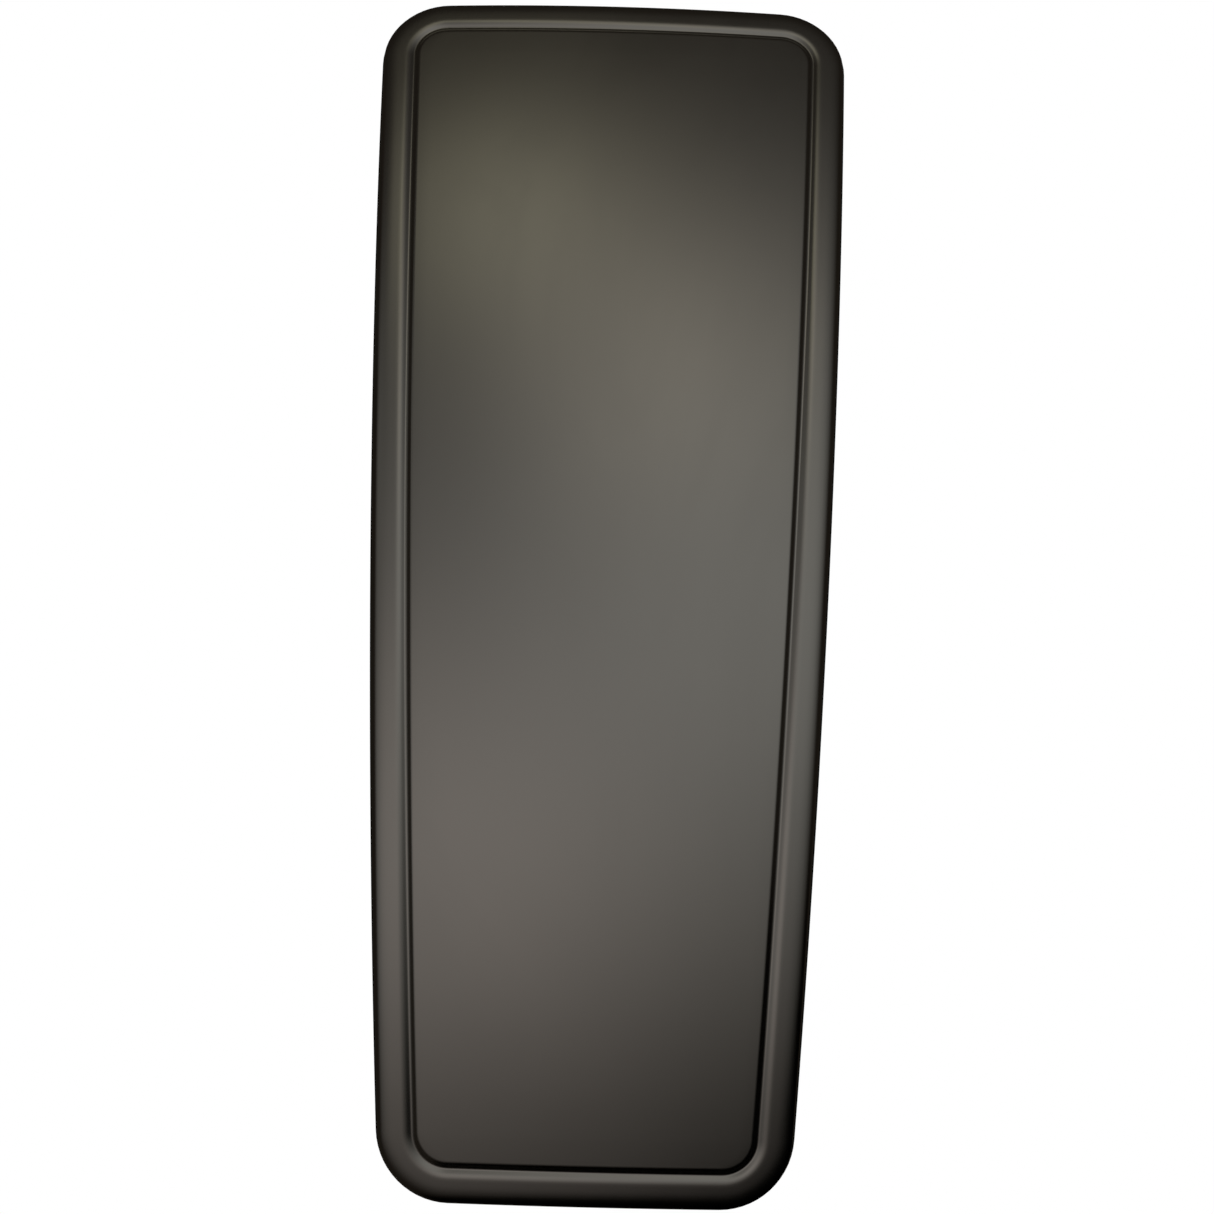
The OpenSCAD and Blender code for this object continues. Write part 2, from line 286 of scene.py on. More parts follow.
def black_rubber():
    material, tree, shader = new_finish("black_rubber", Specular_IOR_Level=0.1)
    grain = effect(tree, GRAIN, Cloud_Scale=40, Grain_Scale=2200)
    dust = effect(tree, DUST, Amount=0.35, Scale=90)
    rubber = blend_colours(tree, grain["Tone"], (0.015, 0.015, 0.015, 1), (0.021, 0.021, 0.021, 1))
    tree.links.new(blend_colours(tree, dust["Mask"], rubber, (0.16, 0.15, 0.14, 1)), shader["Base Color"])
    tree.links.new(remap(tree, grain["Tone"], 0, 1, 0.7, 0.85), shader["Roughness"])
    raise_grain(tree, shader, grain["Height"], 0.05)
    return material


def moulded_plastic():
    """Black plastic with the fine spark texture of its mould."""
    material, tree, shader = new_finish("textured_black_plastic")
    place = own_place(tree)
    grain = effect(tree, GRAIN, Cloud_Scale=16, Grain_Scale=1700)
    spark = add(tree, "ShaderNodeTexVoronoi", {"feature": "SMOOTH_F1"}, Vector=place, Scale=1100.0)
    dust = effect(tree, DUST, Amount=0.3, Scale=45)
    wear = effect(tree, EDGE_WEAR, Amount=0.35, Scale=260)
    plastic = blend_colours(tree, grain["Tone"], (0.037, 0.037, 0.039, 1), (0.043, 0.043, 0.045, 1))
    rubbed = blend_colours(tree, wear["Mask"], plastic, (0.10, 0.10, 0.104, 1))
    tree.links.new(blend_colours(tree, dust["Mask"], rubbed, (0.17, 0.16, 0.15, 1)), shader["Base Color"])
    tree.links.new(remap(tree, grain["Tone"], 0, 1, 0.46, 0.50), shader["Roughness"])
    texture = calculate(tree, "ADD", spark.outputs[0], calculate(tree, "MULTIPLY", grain["Height"], 0.6))
    raise_grain(tree, shader, texture, 0.07)
    return material


def powder_coat():
    """Black powder coat with a little orange peel, rubbed through to steel on its edges."""
    material, tree, shader = new_finish("black_powder_coat")
    grain = effect(tree, GRAIN, Cloud_Scale=30, Grain_Scale=750)
    wear = effect(tree, EDGE_WEAR, Amount=0.42, Scale=420)
    dust = effect(tree, DUST, Amount=0.32, Scale=80)
    paint = blend_colours(tree, grain["Tone"], (0.024, 0.024, 0.026, 1), (0.030, 0.030, 0.032, 1))
    rubbed = blend_colours(tree, wear["Mask"], paint, (0.36, 0.35, 0.34, 1))
    tree.links.new(blend_colours(tree, dust["Mask"], rubbed, (0.2, 0.19, 0.17, 1)), shader["Base Color"])
    tree.links.new(wear["Mask"], shader["Metallic"])
    tree.links.new(remap(tree, grain["Tone"], 0, 1, 0.33, 0.37), shader["Roughness"])
    raise_grain(tree, shader, grain["Height"], 0.09)
    return material


def zinc_plate():
    """Bright zinc plate, a little cloudy, duller on its edges."""
    material, tree, shader = new_finish("zinc_plate", Metallic=1.0)
    grain = effect(tree, GRAIN, Cloud_Scale=260, Grain_Scale=3000)
    wear = effect(tree, EDGE_WEAR, Amount=0.4, Scale=500)
    cloudy = blend_colours(tree, grain["Tone"], (0.56, 0.57, 0.6, 1), (0.68, 0.68, 0.66, 1))
    tree.links.new(blend_colours(tree, wear["Mask"], cloudy, (0.46, 0.45, 0.43, 1)), shader["Base Color"])
    tree.links.new(remap(tree, grain["Tone"], 0, 1, 0.3, 0.42), shader["Roughness"])
    raise_grain(tree, shader, grain["Height"], 0.012)
    return material


def turned_aluminium():
    material, tree, shader = new_finish("turned_aluminium", Metallic=1.0)
    grain = effect(tree, GRAIN, Cloud_Scale=200, Grain_Scale=5000)
    place = own_place(tree)
    rings = add(tree, "ShaderNodeTexWave", {"bands_direction": "Y"}, Vector=place, Scale=900.0).outputs[1]
    tone = blend_colours(tree, grain["Tone"], (0.74, 0.74, 0.75, 1), (0.83, 0.83, 0.83, 1))
    tree.links.new(tone, shader["Base Color"])
    tree.links.new(remap(tree, grain["Tone"], 0, 1, 0.25, 0.34), shader["Roughness"])
    raise_grain(tree, shader, rings, 0.01)
    return material


def natural_nylon():
    material, tree, shader = new_finish("natural_nylon", Subsurface_Weight=0.15, Subsurface_Scale=0.002)
    grain = effect(tree, GRAIN, Cloud_Scale=150, Grain_Scale=1800)
    dust = effect(tree, DUST, Amount=0.4, Scale=300)
    tone = blend_colours(tree, grain["Tone"], (0.66, 0.63, 0.54, 1), (0.74, 0.72, 0.64, 1))
    tree.links.new(blend_colours(tree, dust["Mask"], tone, (0.3, 0.28, 0.24, 1)), shader["Base Color"])
    tree.links.new(remap(tree, grain["Tone"], 0, 1, 0.4, 0.55), shader["Roughness"])
    raise_grain(tree, shader, grain["Height"], 0.02)
    return material


def knob_plastic(name, dark, light):
    """Hard black moulding, polished by hands on its edges."""
    material, tree, shader = new_finish(name)
    grain = effect(tree, GRAIN, Cloud_Scale=90, Grain_Scale=1500)
    wear = effect(tree, EDGE_WEAR, Amount=0.55, Scale=300)
    dust = effect(tree, DUST, Amount=0.2, Scale=200)
    plastic = blend_colours(tree, grain["Tone"], dark, light)
    rubbed = blend_colours(tree, wear["Mask"], plastic, (0.07, 0.07, 0.07, 1))
    tree.links.new(blend_colours(tree, dust["Mask"], rubbed, (0.18, 0.17, 0.16, 1)), shader["Base Color"])
    tree.links.new(remap(tree, wear["Mask"], 0, 1, 0.42, 0.26), shader["Roughness"])
    raise_grain(tree, shader, grain["Height"], 0.04)
    return material


def grey_foam():
    """Closed-cell foam, with the small open cells of its cut faces, their hollows darkened by painted shade.
    """
    material, tree, shader = new_finish("grey_foam", Roughness=0.95, Sheen_Weight=0.2)
    place = own_place(tree)
    grain = effect(tree, GRAIN, Cloud_Scale=50, Grain_Scale=1200)
    cells = add(tree, "ShaderNodeTexVoronoi", Vector=place, Scale=900.0).outputs[0]
    # Painted shade: the colour darkens towards each cell's middle, where the bump sinks its pit.
    painted_pit_shade = calculate(tree, "MULTIPLY", remap(tree, cells, 0.0, 0.7), grain["Tone"])
    foam = blend_colours(tree, painted_pit_shade, (0.05, 0.05, 0.052, 1), (0.12, 0.12, 0.125, 1))
    tree.links.new(foam, shader["Base Color"])
    raise_grain(tree, shader, cells, 0.25)
    return material


FACE_METAL = satin_metal()
RUBBER = black_rubber()
PAN_PLASTIC = moulded_plastic()
PAINT = powder_coat()
ZINC = zinc_plate()
ALUMINIUM = turned_aluminium()
NYLON = natural_nylon()
KNOB_BLACK = knob_plastic("knob_black", (0.022, 0.022, 0.022, 1), (0.034, 0.034, 0.034, 1))
CAP_GREY = knob_plastic("cap_grey", (0.035, 0.035, 0.038, 1), (0.05, 0.05, 0.053, 1))
FOAM = grey_foam()


# ---------------------------------------------------------------- mesh helpers
def mark_edges(bm, start=12, full=28):
    """Stores on each point how sharp the outward edges at it are, from 0 to 1."""
    layer = bm.verts.layers.float.new("edge")
    for vert in bm.verts:
        angles = [math.degrees(e.calc_face_angle_signed(0.0)) for e in vert.link_edges]
        sharpest = max(angles, default=0.0)
        vert[layer] = min(1.0, max(0.0, (sharpest - start) / (full - start)))


def new_mesh(name, shape, sharp=40):
    """A mesh in metres from points and faces in millimetres, with its doubles merged."""
    points, faces = shape
    mesh = bpy.data.meshes.new(name)
    mesh.from_pydata([tuple(c * MM for c in p) for p in points], [], faces)
    bm = bmesh.new()
    bm.from_mesh(mesh)
    bmesh.ops.remove_doubles(bm, verts=bm.verts, dist=1e-6)
    bmesh.ops.recalc_face_normals(bm, faces=bm.faces)
    mark_edges(bm)
    bm.to_mesh(mesh)
    bm.free()
    mesh.polygons.foreach_set("use_smooth", [True] * len(mesh.polygons))
    mesh.set_sharp_from_angle(angle=math.radians(sharp))
    return mesh


def shown(name, mesh):
    piece = bpy.data.objects.new(name, mesh)
    bpy.context.scene.collection.objects.link(piece)
    return piece


def finish_piece(piece, body, nodes=()):
    """Ties a piece to its body, and hides the CAD nodes that it stands for."""
    if nodes:
        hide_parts(*nodes)
    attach(piece, body)
    return piece


def new_piece(name, shape, material, body, nodes=(), sharp=40):
    mesh = new_mesh(name, shape, sharp)
    mesh.materials.append(material)
    return finish_piece(shown(name, mesh), body, nodes)


def joined(*shapes):
    points, faces = [], []
    for more_points, more_faces in shapes:
        start = len(points)
        points += more_points
        faces += [tuple(i + start for i in face) for face in more_faces]
    return points, faces


def placed(shape, matrix):
    points, faces = shape
    return [tuple(matrix @ Vector(p)) for p in points], faces


def along(axis, x=0, y=0, z=0):
    """A matrix that turns a shape's +Z to an axis such as "+x" or "-y", and moves it."""
    turned = {
        "+z": Matrix.Identity(4),
        "-z": Matrix.Rotation(math.pi, 4, "X"),
        "+x": Matrix.Rotation(math.pi / 2, 4, "Y"),
        "-x": Matrix.Rotation(-math.pi / 2, 4, "Y"),
        "+y": Matrix.Rotation(-math.pi / 2, 4, "X"),
        "-y": Matrix.Rotation(math.pi / 2, 4, "X"),
    }[axis]
    return Matrix.Translation((x, y, z)) @ turned


def strips(rings, closed=True):
    """Faces between rings of points that all have the same count."""
    count = len(rings[0])
    points = [p for ring in rings for p in ring]
    faces = []
    for k in range(len(rings) - 1):
        for i in range(count if closed else count - 1):
            j = (i + 1) % count
            faces.append((k * count + i, k * count + j, (k + 1) * count + j, (k + 1) * count + i))
    return points, faces


def bend(centre, radius, start, stop, steps):
    """Points round a bend, with angles in degrees."""
    angles = (math.radians(start + (stop - start) * i / steps) for i in range(steps + 1))
    return [(centre[0] + radius * math.cos(a), centre[1] + radius * math.sin(a)) for a in angles]


def level_ring(radius, z, steps):
    """Points round Z at one radius and height."""
    angles = [2 * math.pi * i / steps for i in range(steps)]
    return [(radius * math.cos(a), radius * math.sin(a), z) for a in angles]


def turned_shape(profile, steps=64):
    """A profile of (radius, height) turned round Z. A radius of 0 closes an end."""
    points, faces = strips([level_ring(max(r, 1e-4), z, steps) for r, z in profile])
    for k, (r, _) in ((0, profile[0]), (len(profile) - 1, profile[-1])):
        if r == 0:
            faces.append(tuple(range(k * steps, (k + 1) * steps)))
    return points, faces


def tube_profile(outer, inner, length, rounding):
    """The closed section of a tube or washer, with its four edges rounded."""
    r = rounding
    return (
        bend((outer - r, r), r, -90, 0, 4) + bend((outer - r, length - r), r, 0, 90, 4)
        + bend((inner + r, length - r), r, 90, 180, 4) + bend((inner + r, r), r, 180, 270, 4)
        + [(outer - r, 0)]
    )


def tube(outer, inner, length, rounding=0.3, steps=64):
    return turned_shape(tube_profile(outer, inner, length, rounding), steps)


def offset_loop(loop, distance):
    """A loop moved to its left by a distance, with its corners mitred."""
    moved = []
    count = len(loop)
    for i, (x, y) in enumerate(loop):
        (px, py), (nx, ny) = loop[i - 1], loop[(i + 1) % count]
        before = Vector((x - px, y - py)).normalized()
        after = Vector((nx - x, ny - y)).normalized()
        side = Vector((-before.y - after.y, before.x + after.x))
        side /= max(side.dot(Vector((-before.y, before.x))), 0.3)
        moved.append((x + side.x * distance, y + side.y * distance))
    return moved


def turned_left(loop):
    """The loop in the direction that keeps its inside on its left."""
    area = sum(a[0] * b[1] - b[0] * a[1] for a, b in zip(loop, loop[1:] + loop[:1]))
    return loop if area > 0 else loop[::-1]


def flat_plate(outline, holes, low, high, order, rounding=0.5, flat_rim=0.5):
    """A plate with holes and rounded edges. order says which axes its outline and its thickness take."""
    thickness = high - low
    section = (
        [(rounding + flat_rim, 0)] + bend((rounding, rounding), rounding, 270, 180, 4)
        + bend((rounding, thickness - rounding), rounding, 180, 90, 4) + [(rounding + flat_rim, thickness)]
    )
    loops = [turned_left(outline)] + [turned_left(hole)[::-1] for hole in holes]
    parts = []
    for loop in loops:
        parts.append(strips([[(u, v, low + w) for u, v in offset_loop(loop, e)] for e, w in section]))
    for e, w in (section[0], section[-1]):
        rims = [[Vector((u, v, low + w)) for u, v in offset_loop(loop, e)] for loop in loops]
        parts.append(([tuple(p) for rim in rims for p in rim], tessellate_polygon(rims)))
    points, faces = joined(*parts)
    u, v, w = ("xyz".index(axis) for axis in order)
    laid = [tuple(value for _, value in sorted(zip((u, v, w), p))) for p in points]
    return laid, faces


def circle(radius, x=0, y=0, steps=48):
    return [(x + px, y + py) for px, py in bend((0, 0), radius, 0, 360 - 360 / steps, steps - 1)]


def rounded_rectangle(width, height, radius, steps=8):
    x, y = width / 2 - radius, height / 2 - radius
    corners = ((x, y, 0), (-x, y, 90), (-x, -y, 180), (x, -y, 270))
    return [p for cx, cy, start in corners for p in bend((cx, cy), radius, start, start + 90, steps)]


# ---------------------------------------------------------------- fasteners
def hexagon_radius(angle, flats):
    """Distance from the middle to a hexagon's side, with its corners a little rounded."""
    turned = (angle + math.pi / 6) % (math.pi / 3) - math.pi / 6
    return min(flats / 2 / math.cos(turned), flats / 2 * 1.135)


def hexagon_shape(flats, height, bore=0.0, both_ends=True, steps=96):
    """A hexagon head or nut on Z with chamfered corners and, for a nut, a chamfered bore."""
    angles = [2 * math.pi * i / steps for i in range(steps)]
    seat = flats / 2 * 0.94
    slope = math.tan(math.radians(30))

    def rim(radius, z):
        return level_ring(radius, z, steps)

    def corners(z, end):
        reach = [hexagon_radius(a, flats) for a in angles]
        fall = [max(0.0, r - seat) * slope for r in reach]
        return [(r * math.cos(a), r * math.sin(a), z - end * f) for a, r, f in zip(angles, reach, fall)]

    top = [rim(seat * 0.9, height), rim(seat, height), corners(height, 1)]
    base = [corners(0, -1), rim(seat, 0)] if both_ends else [corners(0, 0)]
    base.append(rim(seat * 0.9, 0))
    if bore:
        entry = bore + 0.5
        rings = [rim(entry, height)] + top + base + [rim(entry, 0), rim(bore, 0.5), rim(bore, height - 0.5)]
        return strips(rings + [rings[0]])
    points, faces = strips(top + base)
    count = len(points)
    faces.append(tuple(range(steps)))
    faces.append(tuple(range(count - steps, count)))
    return points, faces


def thread_shape(radius, length, pitch=1.25, depth=0.55, turns=32):
    """A threaded rod on Z from 0 to its length, with a chamfered far end."""
    rows = int(length / pitch * 8)
    rings = []
    for k in range(rows + 1):
        z = length * k / rows
        limit = radius - max(0.0, 0.9 - (length - z))
        ring = []
        for i in range(turns):
            phase = (z / pitch - i / turns) % 1
            r = min(limit, radius - depth * abs(2 * phase - 1))
            a = 2 * math.pi * i / turns
            ring.append((r * math.cos(a), r * math.sin(a), z))
        rings.append(ring)
    points, faces = strips(rings)
    faces.append(tuple(range(turns)))
    faces.append(tuple(range(rows * turns, (rows + 1) * turns)))
    return points, faces


def bolt_shape(radius, flats, head, shank, threaded):
    """A hexagon bolt whose head stands on z = 0 and whose shank runs down."""
    plain = shank - threaded
    end = -plain - 0.4
    rod = turned_shape([(0, 0.5), (radius, 0.5), (radius, -plain), (radius - 0.4, end), (0, end)])
    thread = placed(thread_shape(radius, threaded), along("-z", z=-plain))
    return joined(hexagon_shape(flats, head, both_ends=False), rod, thread)


def cross_cutter(arm=2.3, width=1.15, depth=1.7, top=3.2, taper=0.55):
    """A plus sign that narrows downwards, for the recess of a screw's head."""
    w = width / 2
    corner = [(arm, -w), (arm, w), (w, w)]
    outline = []
    for quarter in range(4):
        c, s = math.cos(quarter * math.pi / 2), math.sin(quarter * math.pi / 2)
        outline += [(x * c - y * s, x * s + y * c) for x, y in corner]
    levels = [(1.25, top), (1, top - 0.7), (taper, top - 0.7 - depth)]
    rings = [[(x * share, y * share, z) for x, y in outline] for share, z in levels]
    points, faces = strips(rings)
    count = len(outline)
    faces.append(tuple(range(count)))
    faces.append(tuple(range(2 * count, 3 * count)))
    return points, faces


def pan_head_screw(head_radius=4, head=2.5, shank_radius=2, shank=9):
    """The mesh of a pan head screw with a cross recess, standing on z = 0."""
    rounding = 1.7
    side = [(head_radius - 0.35, 0), (head_radius, 0.35), (head_radius, head - rounding)]
    shoulder = bend((head_radius - rounding, head - rounding), rounding, 10, 80, 6)
    crown = [(1.2, head - 0.02), (0, head)]
    rod = [(0, -shank), (shank_radius - 0.5, -shank), (shank_radius, -shank + 0.6), (shank_radius, 0)]
    solid = new_mesh("screw_template", turned_shape(rod + side + shoulder + crown, 48))
    head_piece = shown("screw_template", solid)
    cutter = shown("screw_cutter", new_mesh("screw_cutter", cross_cutter()))
    cut = head_piece.modifiers.new("recess", "BOOLEAN")
    cut.operation = "DIFFERENCE"
    cut.object = cutter
    cut.solver = "EXACT"
    mesh = evaluated_mesh(head_piece)
    for piece in (head_piece, cutter):
        bpy.data.objects.remove(piece)
    mesh.set_sharp_from_angle(angle=math.radians(35))
    return mesh


def evaluated_mesh(piece):
    """The plain mesh of an object with its modifiers applied."""
    bpy.context.view_layer.update()
    return bpy.data.meshes.new_from_object(piece.evaluated_get(bpy.context.evaluated_depsgraph_get()))


# ---------------------------------------------------------------- what repeats, by geometry nodes
def set_input(modifier, name, value):
    """Sets a modifier's input by its socket's identifier."""
    for item in modifier.node_group.interface.items_tree:
        if item.item_type == "SOCKET" and item.in_out == "INPUT" and item.name == name:
            modifier[item.identifier] = value


def end_tree(tree, geometry, finish):
    """Realize Instances and Set Material, at the end of a geometry tree."""
    plain = add(tree, "GeometryNodeRealizeInstances", Geometry=geometry).outputs[0]
    painted = add(tree, "GeometryNodeSetMaterial", Geometry=plain, Material=finish).outputs[0]
    tree.links.new(painted, tree.nodes.new("NodeGroupOutput").inputs[0])


def new_geometry_tree(title, inputs):
    """A geometry tree with inputs of the kinds given, and the sockets of its input node."""
    tree = bpy.data.node_groups.new(title, "GeometryNodeTree")
    for name, kind in inputs.items():
        tree.interface.new_socket(name=name, in_out="INPUT", socket_type="NodeSocket" + kind)
    tree.interface.new_socket(name="Result", in_out="OUTPUT", socket_type="NodeSocketGeometry")
    return tree, tree.nodes.new("NodeGroupInput").outputs


def make_fixings_tree():
    """Puts one part on every point, with its +Z along the point's direction and a turn of its own."""
    kinds = {"Places": "Geometry", "Part": "Object", "Most Turn": "Float"}
    kinds.update({"Seed": "Int", "Finish": "Material"})
    tree, given = new_geometry_tree("fixings", kinds)
    part = add(tree, "GeometryNodeObjectInfo", Object=given["Part"]).outputs["Geometry"]
    direction = add(tree, "GeometryNodeInputNamedAttribute", {"data_type": "FLOAT_VECTOR"}, Name="direction")
    aimed = add(tree, "FunctionNodeAlignRotationToVector", {"axis": "Z"}, Vector=direction.outputs[0])
    chance = add(tree, "FunctionNodeRandomValue", {"data_type": "FLOAT"}, Seed=given["Seed"])
    tree.links.new(given["Most Turn"], chance.inputs[3])
    spin = add(tree, "FunctionNodeAxisAngleToRotation", Axis=(0, 0, 1), Angle=chance.outputs[1])
    turned = add(tree, "FunctionNodeRotateRotation", {"rotation_space": "LOCAL"},
                 Rotation=aimed.outputs[0], Rotate_By=spin.outputs[0])
    copies = add(tree, "GeometryNodeInstanceOnPoints", Points=given["Places"], Instance=part,
                 Rotation=turned.outputs[0])
    end_tree(tree, copies.outputs[0], given["Finish"])
    return tree


def make_weld_tree():
    """A rippled bead of weld along the edges of a mesh."""
    kinds = {"Seams": "Geometry", "Bead Radius": "Float", "Ripple Length": "Float"}
    kinds.update({"Ripple Depth": "Float", "Finish": "Material"})
    tree, given = new_geometry_tree("weld_bead", kinds)
    path = add(tree, "GeometryNodeMeshToCurve", Mesh=given["Seams"]).outputs[0]
    step = calculate(tree, "DIVIDE", given["Ripple Length"], 5.0)
    fine = add(tree, "GeometryNodeResampleCurve", {"mode": "LENGTH"}, Curve=path, Length=step).outputs[0]
    run = add(tree, "GeometryNodeSplineParameter").outputs["Length"]
    turn = calculate(tree, "MULTIPLY", calculate(tree, "DIVIDE", run, given["Ripple Length"]), math.pi)
    wave = calculate(tree, "ABSOLUTE", calculate(tree, "SINE", turn))
    swell = calculate(tree, "MULTIPLY", wave, given["Ripple Depth"])
    size = calculate(tree, "ADD", calculate(tree, "SUBTRACT", 1.0, given["Ripple Depth"]), swell)
    sized = add(tree, "GeometryNodeSetCurveRadius", Curve=fine, Radius=size).outputs[0]
    ring = add(tree, "GeometryNodeCurvePrimitiveCircle", Resolution=12, Radius=given["Bead Radius"])
    swept = {"Curve": sized, "Profile_Curve": ring.outputs[0], "Fill_Caps": True}
    bead = add(tree, "GeometryNodeCurveToMesh", **swept).outputs[0]
    smooth = add(tree, "GeometryNodeSetShadeSmooth", Geometry=bead).outputs[0]
    end_tree(tree, smooth, given["Finish"])
    return tree


FIXINGS = make_fixings_tree()
WELD = make_weld_tree()


def grown(name, base, tree, inputs, body, nodes=()):
    """The piece that a geometry tree makes from a base object."""
    modifier = base.modifiers.new(name, "NODES")
    modifier.node_group = tree
    for socket, value in inputs.items():
        set_input(modifier, socket, value)
    mesh = evaluated_mesh(base)
    base.modifiers.remove(modifier)
    bpy.data.objects.remove(base)
    mesh.name = name
    return finish_piece(shown(name, mesh), body, nodes)


def fixings(name, template, places, material, body, nodes, most_turn=2 * math.pi, seed=3):
    """One copy of a template mesh at each (point, direction)."""
    points = bpy.data.meshes.new(name + "_places")
    points.from_pydata([Vector(point) * MM for point, _ in places], [], [])
    direction = points.attributes.new("direction", "FLOAT_VECTOR", "POINT")
    direction.data.foreach_set("vector", [c for _, aim in places for c in aim])
    part = shown(name + "_template", template)
    inputs = {"Part": part, "Most Turn": most_turn, "Seed": seed, "Finish": material}
    piece = grown(name, shown(name + "_base", points), FIXINGS, inputs, body, nodes)
    bpy.data.objects.remove(part)
    return piece


def welds(name, seams, body, radius=1.5, ripple=1.6, depth=0.22):
    """Weld beads along lines of points. A line that ends where it starts is a closed loop."""
    points, edges = [], []
    for seam in seams:
        closed = (Vector(seam[0]) - Vector(seam[-1])).length < 1e-6
        line = seam[:-1] if closed else seam
        start = len(points)
        points += [Vector(p) * MM for p in line]
        edges += [(start + i, start + i + 1) for i in range(len(line) - 1)]
        if closed:
            edges.append((start + len(line) - 1, start))
    mesh = bpy.data.meshes.new(name + "_seams")
    mesh.from_pydata(points, edges, [])
    inputs = {"Bead Radius": radius * MM, "Ripple Length": ripple * MM}
    inputs.update({"Ripple Depth": depth, "Finish": PAINT})
    return grown(name, shown(name + "_base", mesh), WELD, inputs, body)


# ---------------------------------------------------------------- the head's outline
CORNER_TOP_X = TOP_HALF_WIDTH - CORNER_RADIUS
CORNER_BOTTOM_X = BOTTOM_HALF_WIDTH - CORNER_RADIUS
CORNER_MIDDLE_X = (CORNER_TOP_X + CORNER_BOTTOM_X) / 2
CORNER_Z = HALF_HEIGHT - CORNER_RADIUS
LEAN = math.atan((CORNER_TOP_X - CORNER_BOTTOM_X) / (2 * CORNER_Z))
ARC_STEPS = 14


def side_x(inset, z):
    """Half the head's width at a height, a distance in from the outline."""
    return CORNER_MIDDLE_X + z * math.tan(LEAN) + (CORNER_RADIUS - inset) / math.cos(LEAN)


def corner_at(distance, end):
    """Centre of a right-hand corner that lies a distance in from the top (1) or bottom (-1) edge."""
    z = end * (HALF_HEIGHT - distance)
    return CORNER_MIDDLE_X + z * math.tan(LEAN) - (distance - CORNER_RADIUS) / math.cos(LEAN), z


def right_side(inset, radius, levels):
    """Points from the top edge's right end, round its corner, down through the levels and round the next."""
    corners = []
    for end, start, stop in ((1, 90, -math.degrees(LEAN)), (-1, -math.degrees(LEAN), -90)):
        corners.append(bend(corner_at(inset + radius, end), radius, start, stop, ARC_STEPS))
    return corners[0] + [(side_x(inset, z), z) for z in levels] + corners[1]


def on_dome(x, z, depth):
    """The point at x and z that lies a depth behind the face."""
    r = DOME_RADIUS - depth
    return x, DOME_CENTRE_Y - math.sqrt(r * r - x * x - z * z), z


def even_columns(reach, count=32):
    return [-reach + 2 * reach * i / count for i in range(count + 1)]


FACE_LEVELS = [260 - 10 * i for i in range(53)]


def head_ring(inset, depth, radius=None, levels=FACE_LEVELS, columns=even_columns):
    """A closed loop on the dome: top edge, right side, bottom edge, left side."""
    right = right_side(inset, CORNER_RADIUS - inset if radius is None else radius, levels)
    (tx, tz), (bx, bz) = right[0], right[-1]
    top = [(x, tz) for x in columns(tx)[:-1]]
    bottom = [(-x, bz) for x in columns(bx)[1:]]
    left = [(-x, z) for x, z in reversed(right[1:-1])]
    return [on_dome(x, z, depth) for x, z in top + right + bottom + left]


def head_fill(inset, place, radius=None, levels=FACE_LEVELS, columns=even_columns):
    """Rows across the head that fill the loop at an inset, each point put where place says."""
    right = right_side(inset, CORNER_RADIUS - inset if radius is None else radius, levels)
    return strips([[place(x, z) for x in columns(reach)] for reach, z in right], closed=False)


# ---------------------------------------------------------------- the face
def face_section():
    """The face's section, from the skirt's back edge over the rim and down the groove to the panel."""
    skirt = [(0, 13), (0, 10), (0, 7)]
    edge = bend((4, 4.4), 4, 180, 252, 9)
    crown = [(3.5, 0.41), (4.3, 0.257), (5.2, 0.145), (6.3, 0.065), (7.2, 0.025), (8.2, 0.005), (9.2, 0)]
    slope = [(11, 0), (12, 0.012), (12.6, 0.045), (13.2, 0.12), (13.8, 0.24), (14.4, 0.4), (15.0, 0.62)]
    foot = [(15.6, 0.91), (16.1, 1.15), (16.4, 1.28), (16.75, 1.33), (17.1, 1.3), (17.5, 1.19)]
    wall = [(17.9, 0.99), (18.4, 0.69), (18.9, 0.36), (19.3, 0.15), (19.7, 0.05), (20.1, 0.012), (20.5, 0)]
    return skirt + edge + crown + slope + foot + wall


def make_face():
    outer = face_section()
    under = SHEET + GROOVE_DEPTH
    inner = [(SHEET, SKIRT_DEPTH), (SHEET, 5.5), (3, 3.4), (4.5, 2.5), (7, SHEET + 0.05), (11, SHEET)]
    inner += [(14.6, under), (19, under), (21, SHEET)]
    front, back = outer[-1], inner[-1]
    shape = joined(
        strips([head_ring(*place) for place in outer]),
        head_fill(front[0], lambda x, z: on_dome(x, z, front[1])),
        strips([head_ring(*place) for place in inner]),
        head_fill(back[0], lambda x, z: on_dome(x, z, back[1])),
        strips([head_ring(*outer[0]), head_ring(*inner[0])]),
    )
    new_piece("face_skin", shape, FACE_METAL, "head", ["mirror_face"])


make_face()


def make_trim():
    """Rubber edging: a lip outside the skirt, a round heel and a foot under the back pan."""
    lip = bend((-0.6, 7.6), 0.6, 0, -180, 6)
    heel = bend((0.6, 13.2), 1.8, 180, 90, 8)
    foot = bend((7.2, 14.2), 0.8, 90, -90, 6)
    section = [(0, 13)] + lip + heel + [(3.5, 15)] + foot + [(0, 13)]
    shape = strips([head_ring(*place) for place in section])
    new_piece("rubber_edging", shape, RUBBER, "head", ["edge_trim"])


make_trim()


# ---------------------------------------------------------------- the back pan
TRAY_DEPTH = 24
TRAY_WALL = 2.5
TRAY_INSET = 32
TRAY_CORNER = 20
FLANGE_FRONT = 10.5
RIB_HEIGHT = 3
RIB_HALF = 4
RIB_REACH = 220
BAR_X = 46
RUNGS = (115, 205)
PAD_HALF_X = 42
PAD_HALF_Z = 58
PAD_CORNER = 8
PAD_FRONT_Y = span("backing_plate", "y")[1]


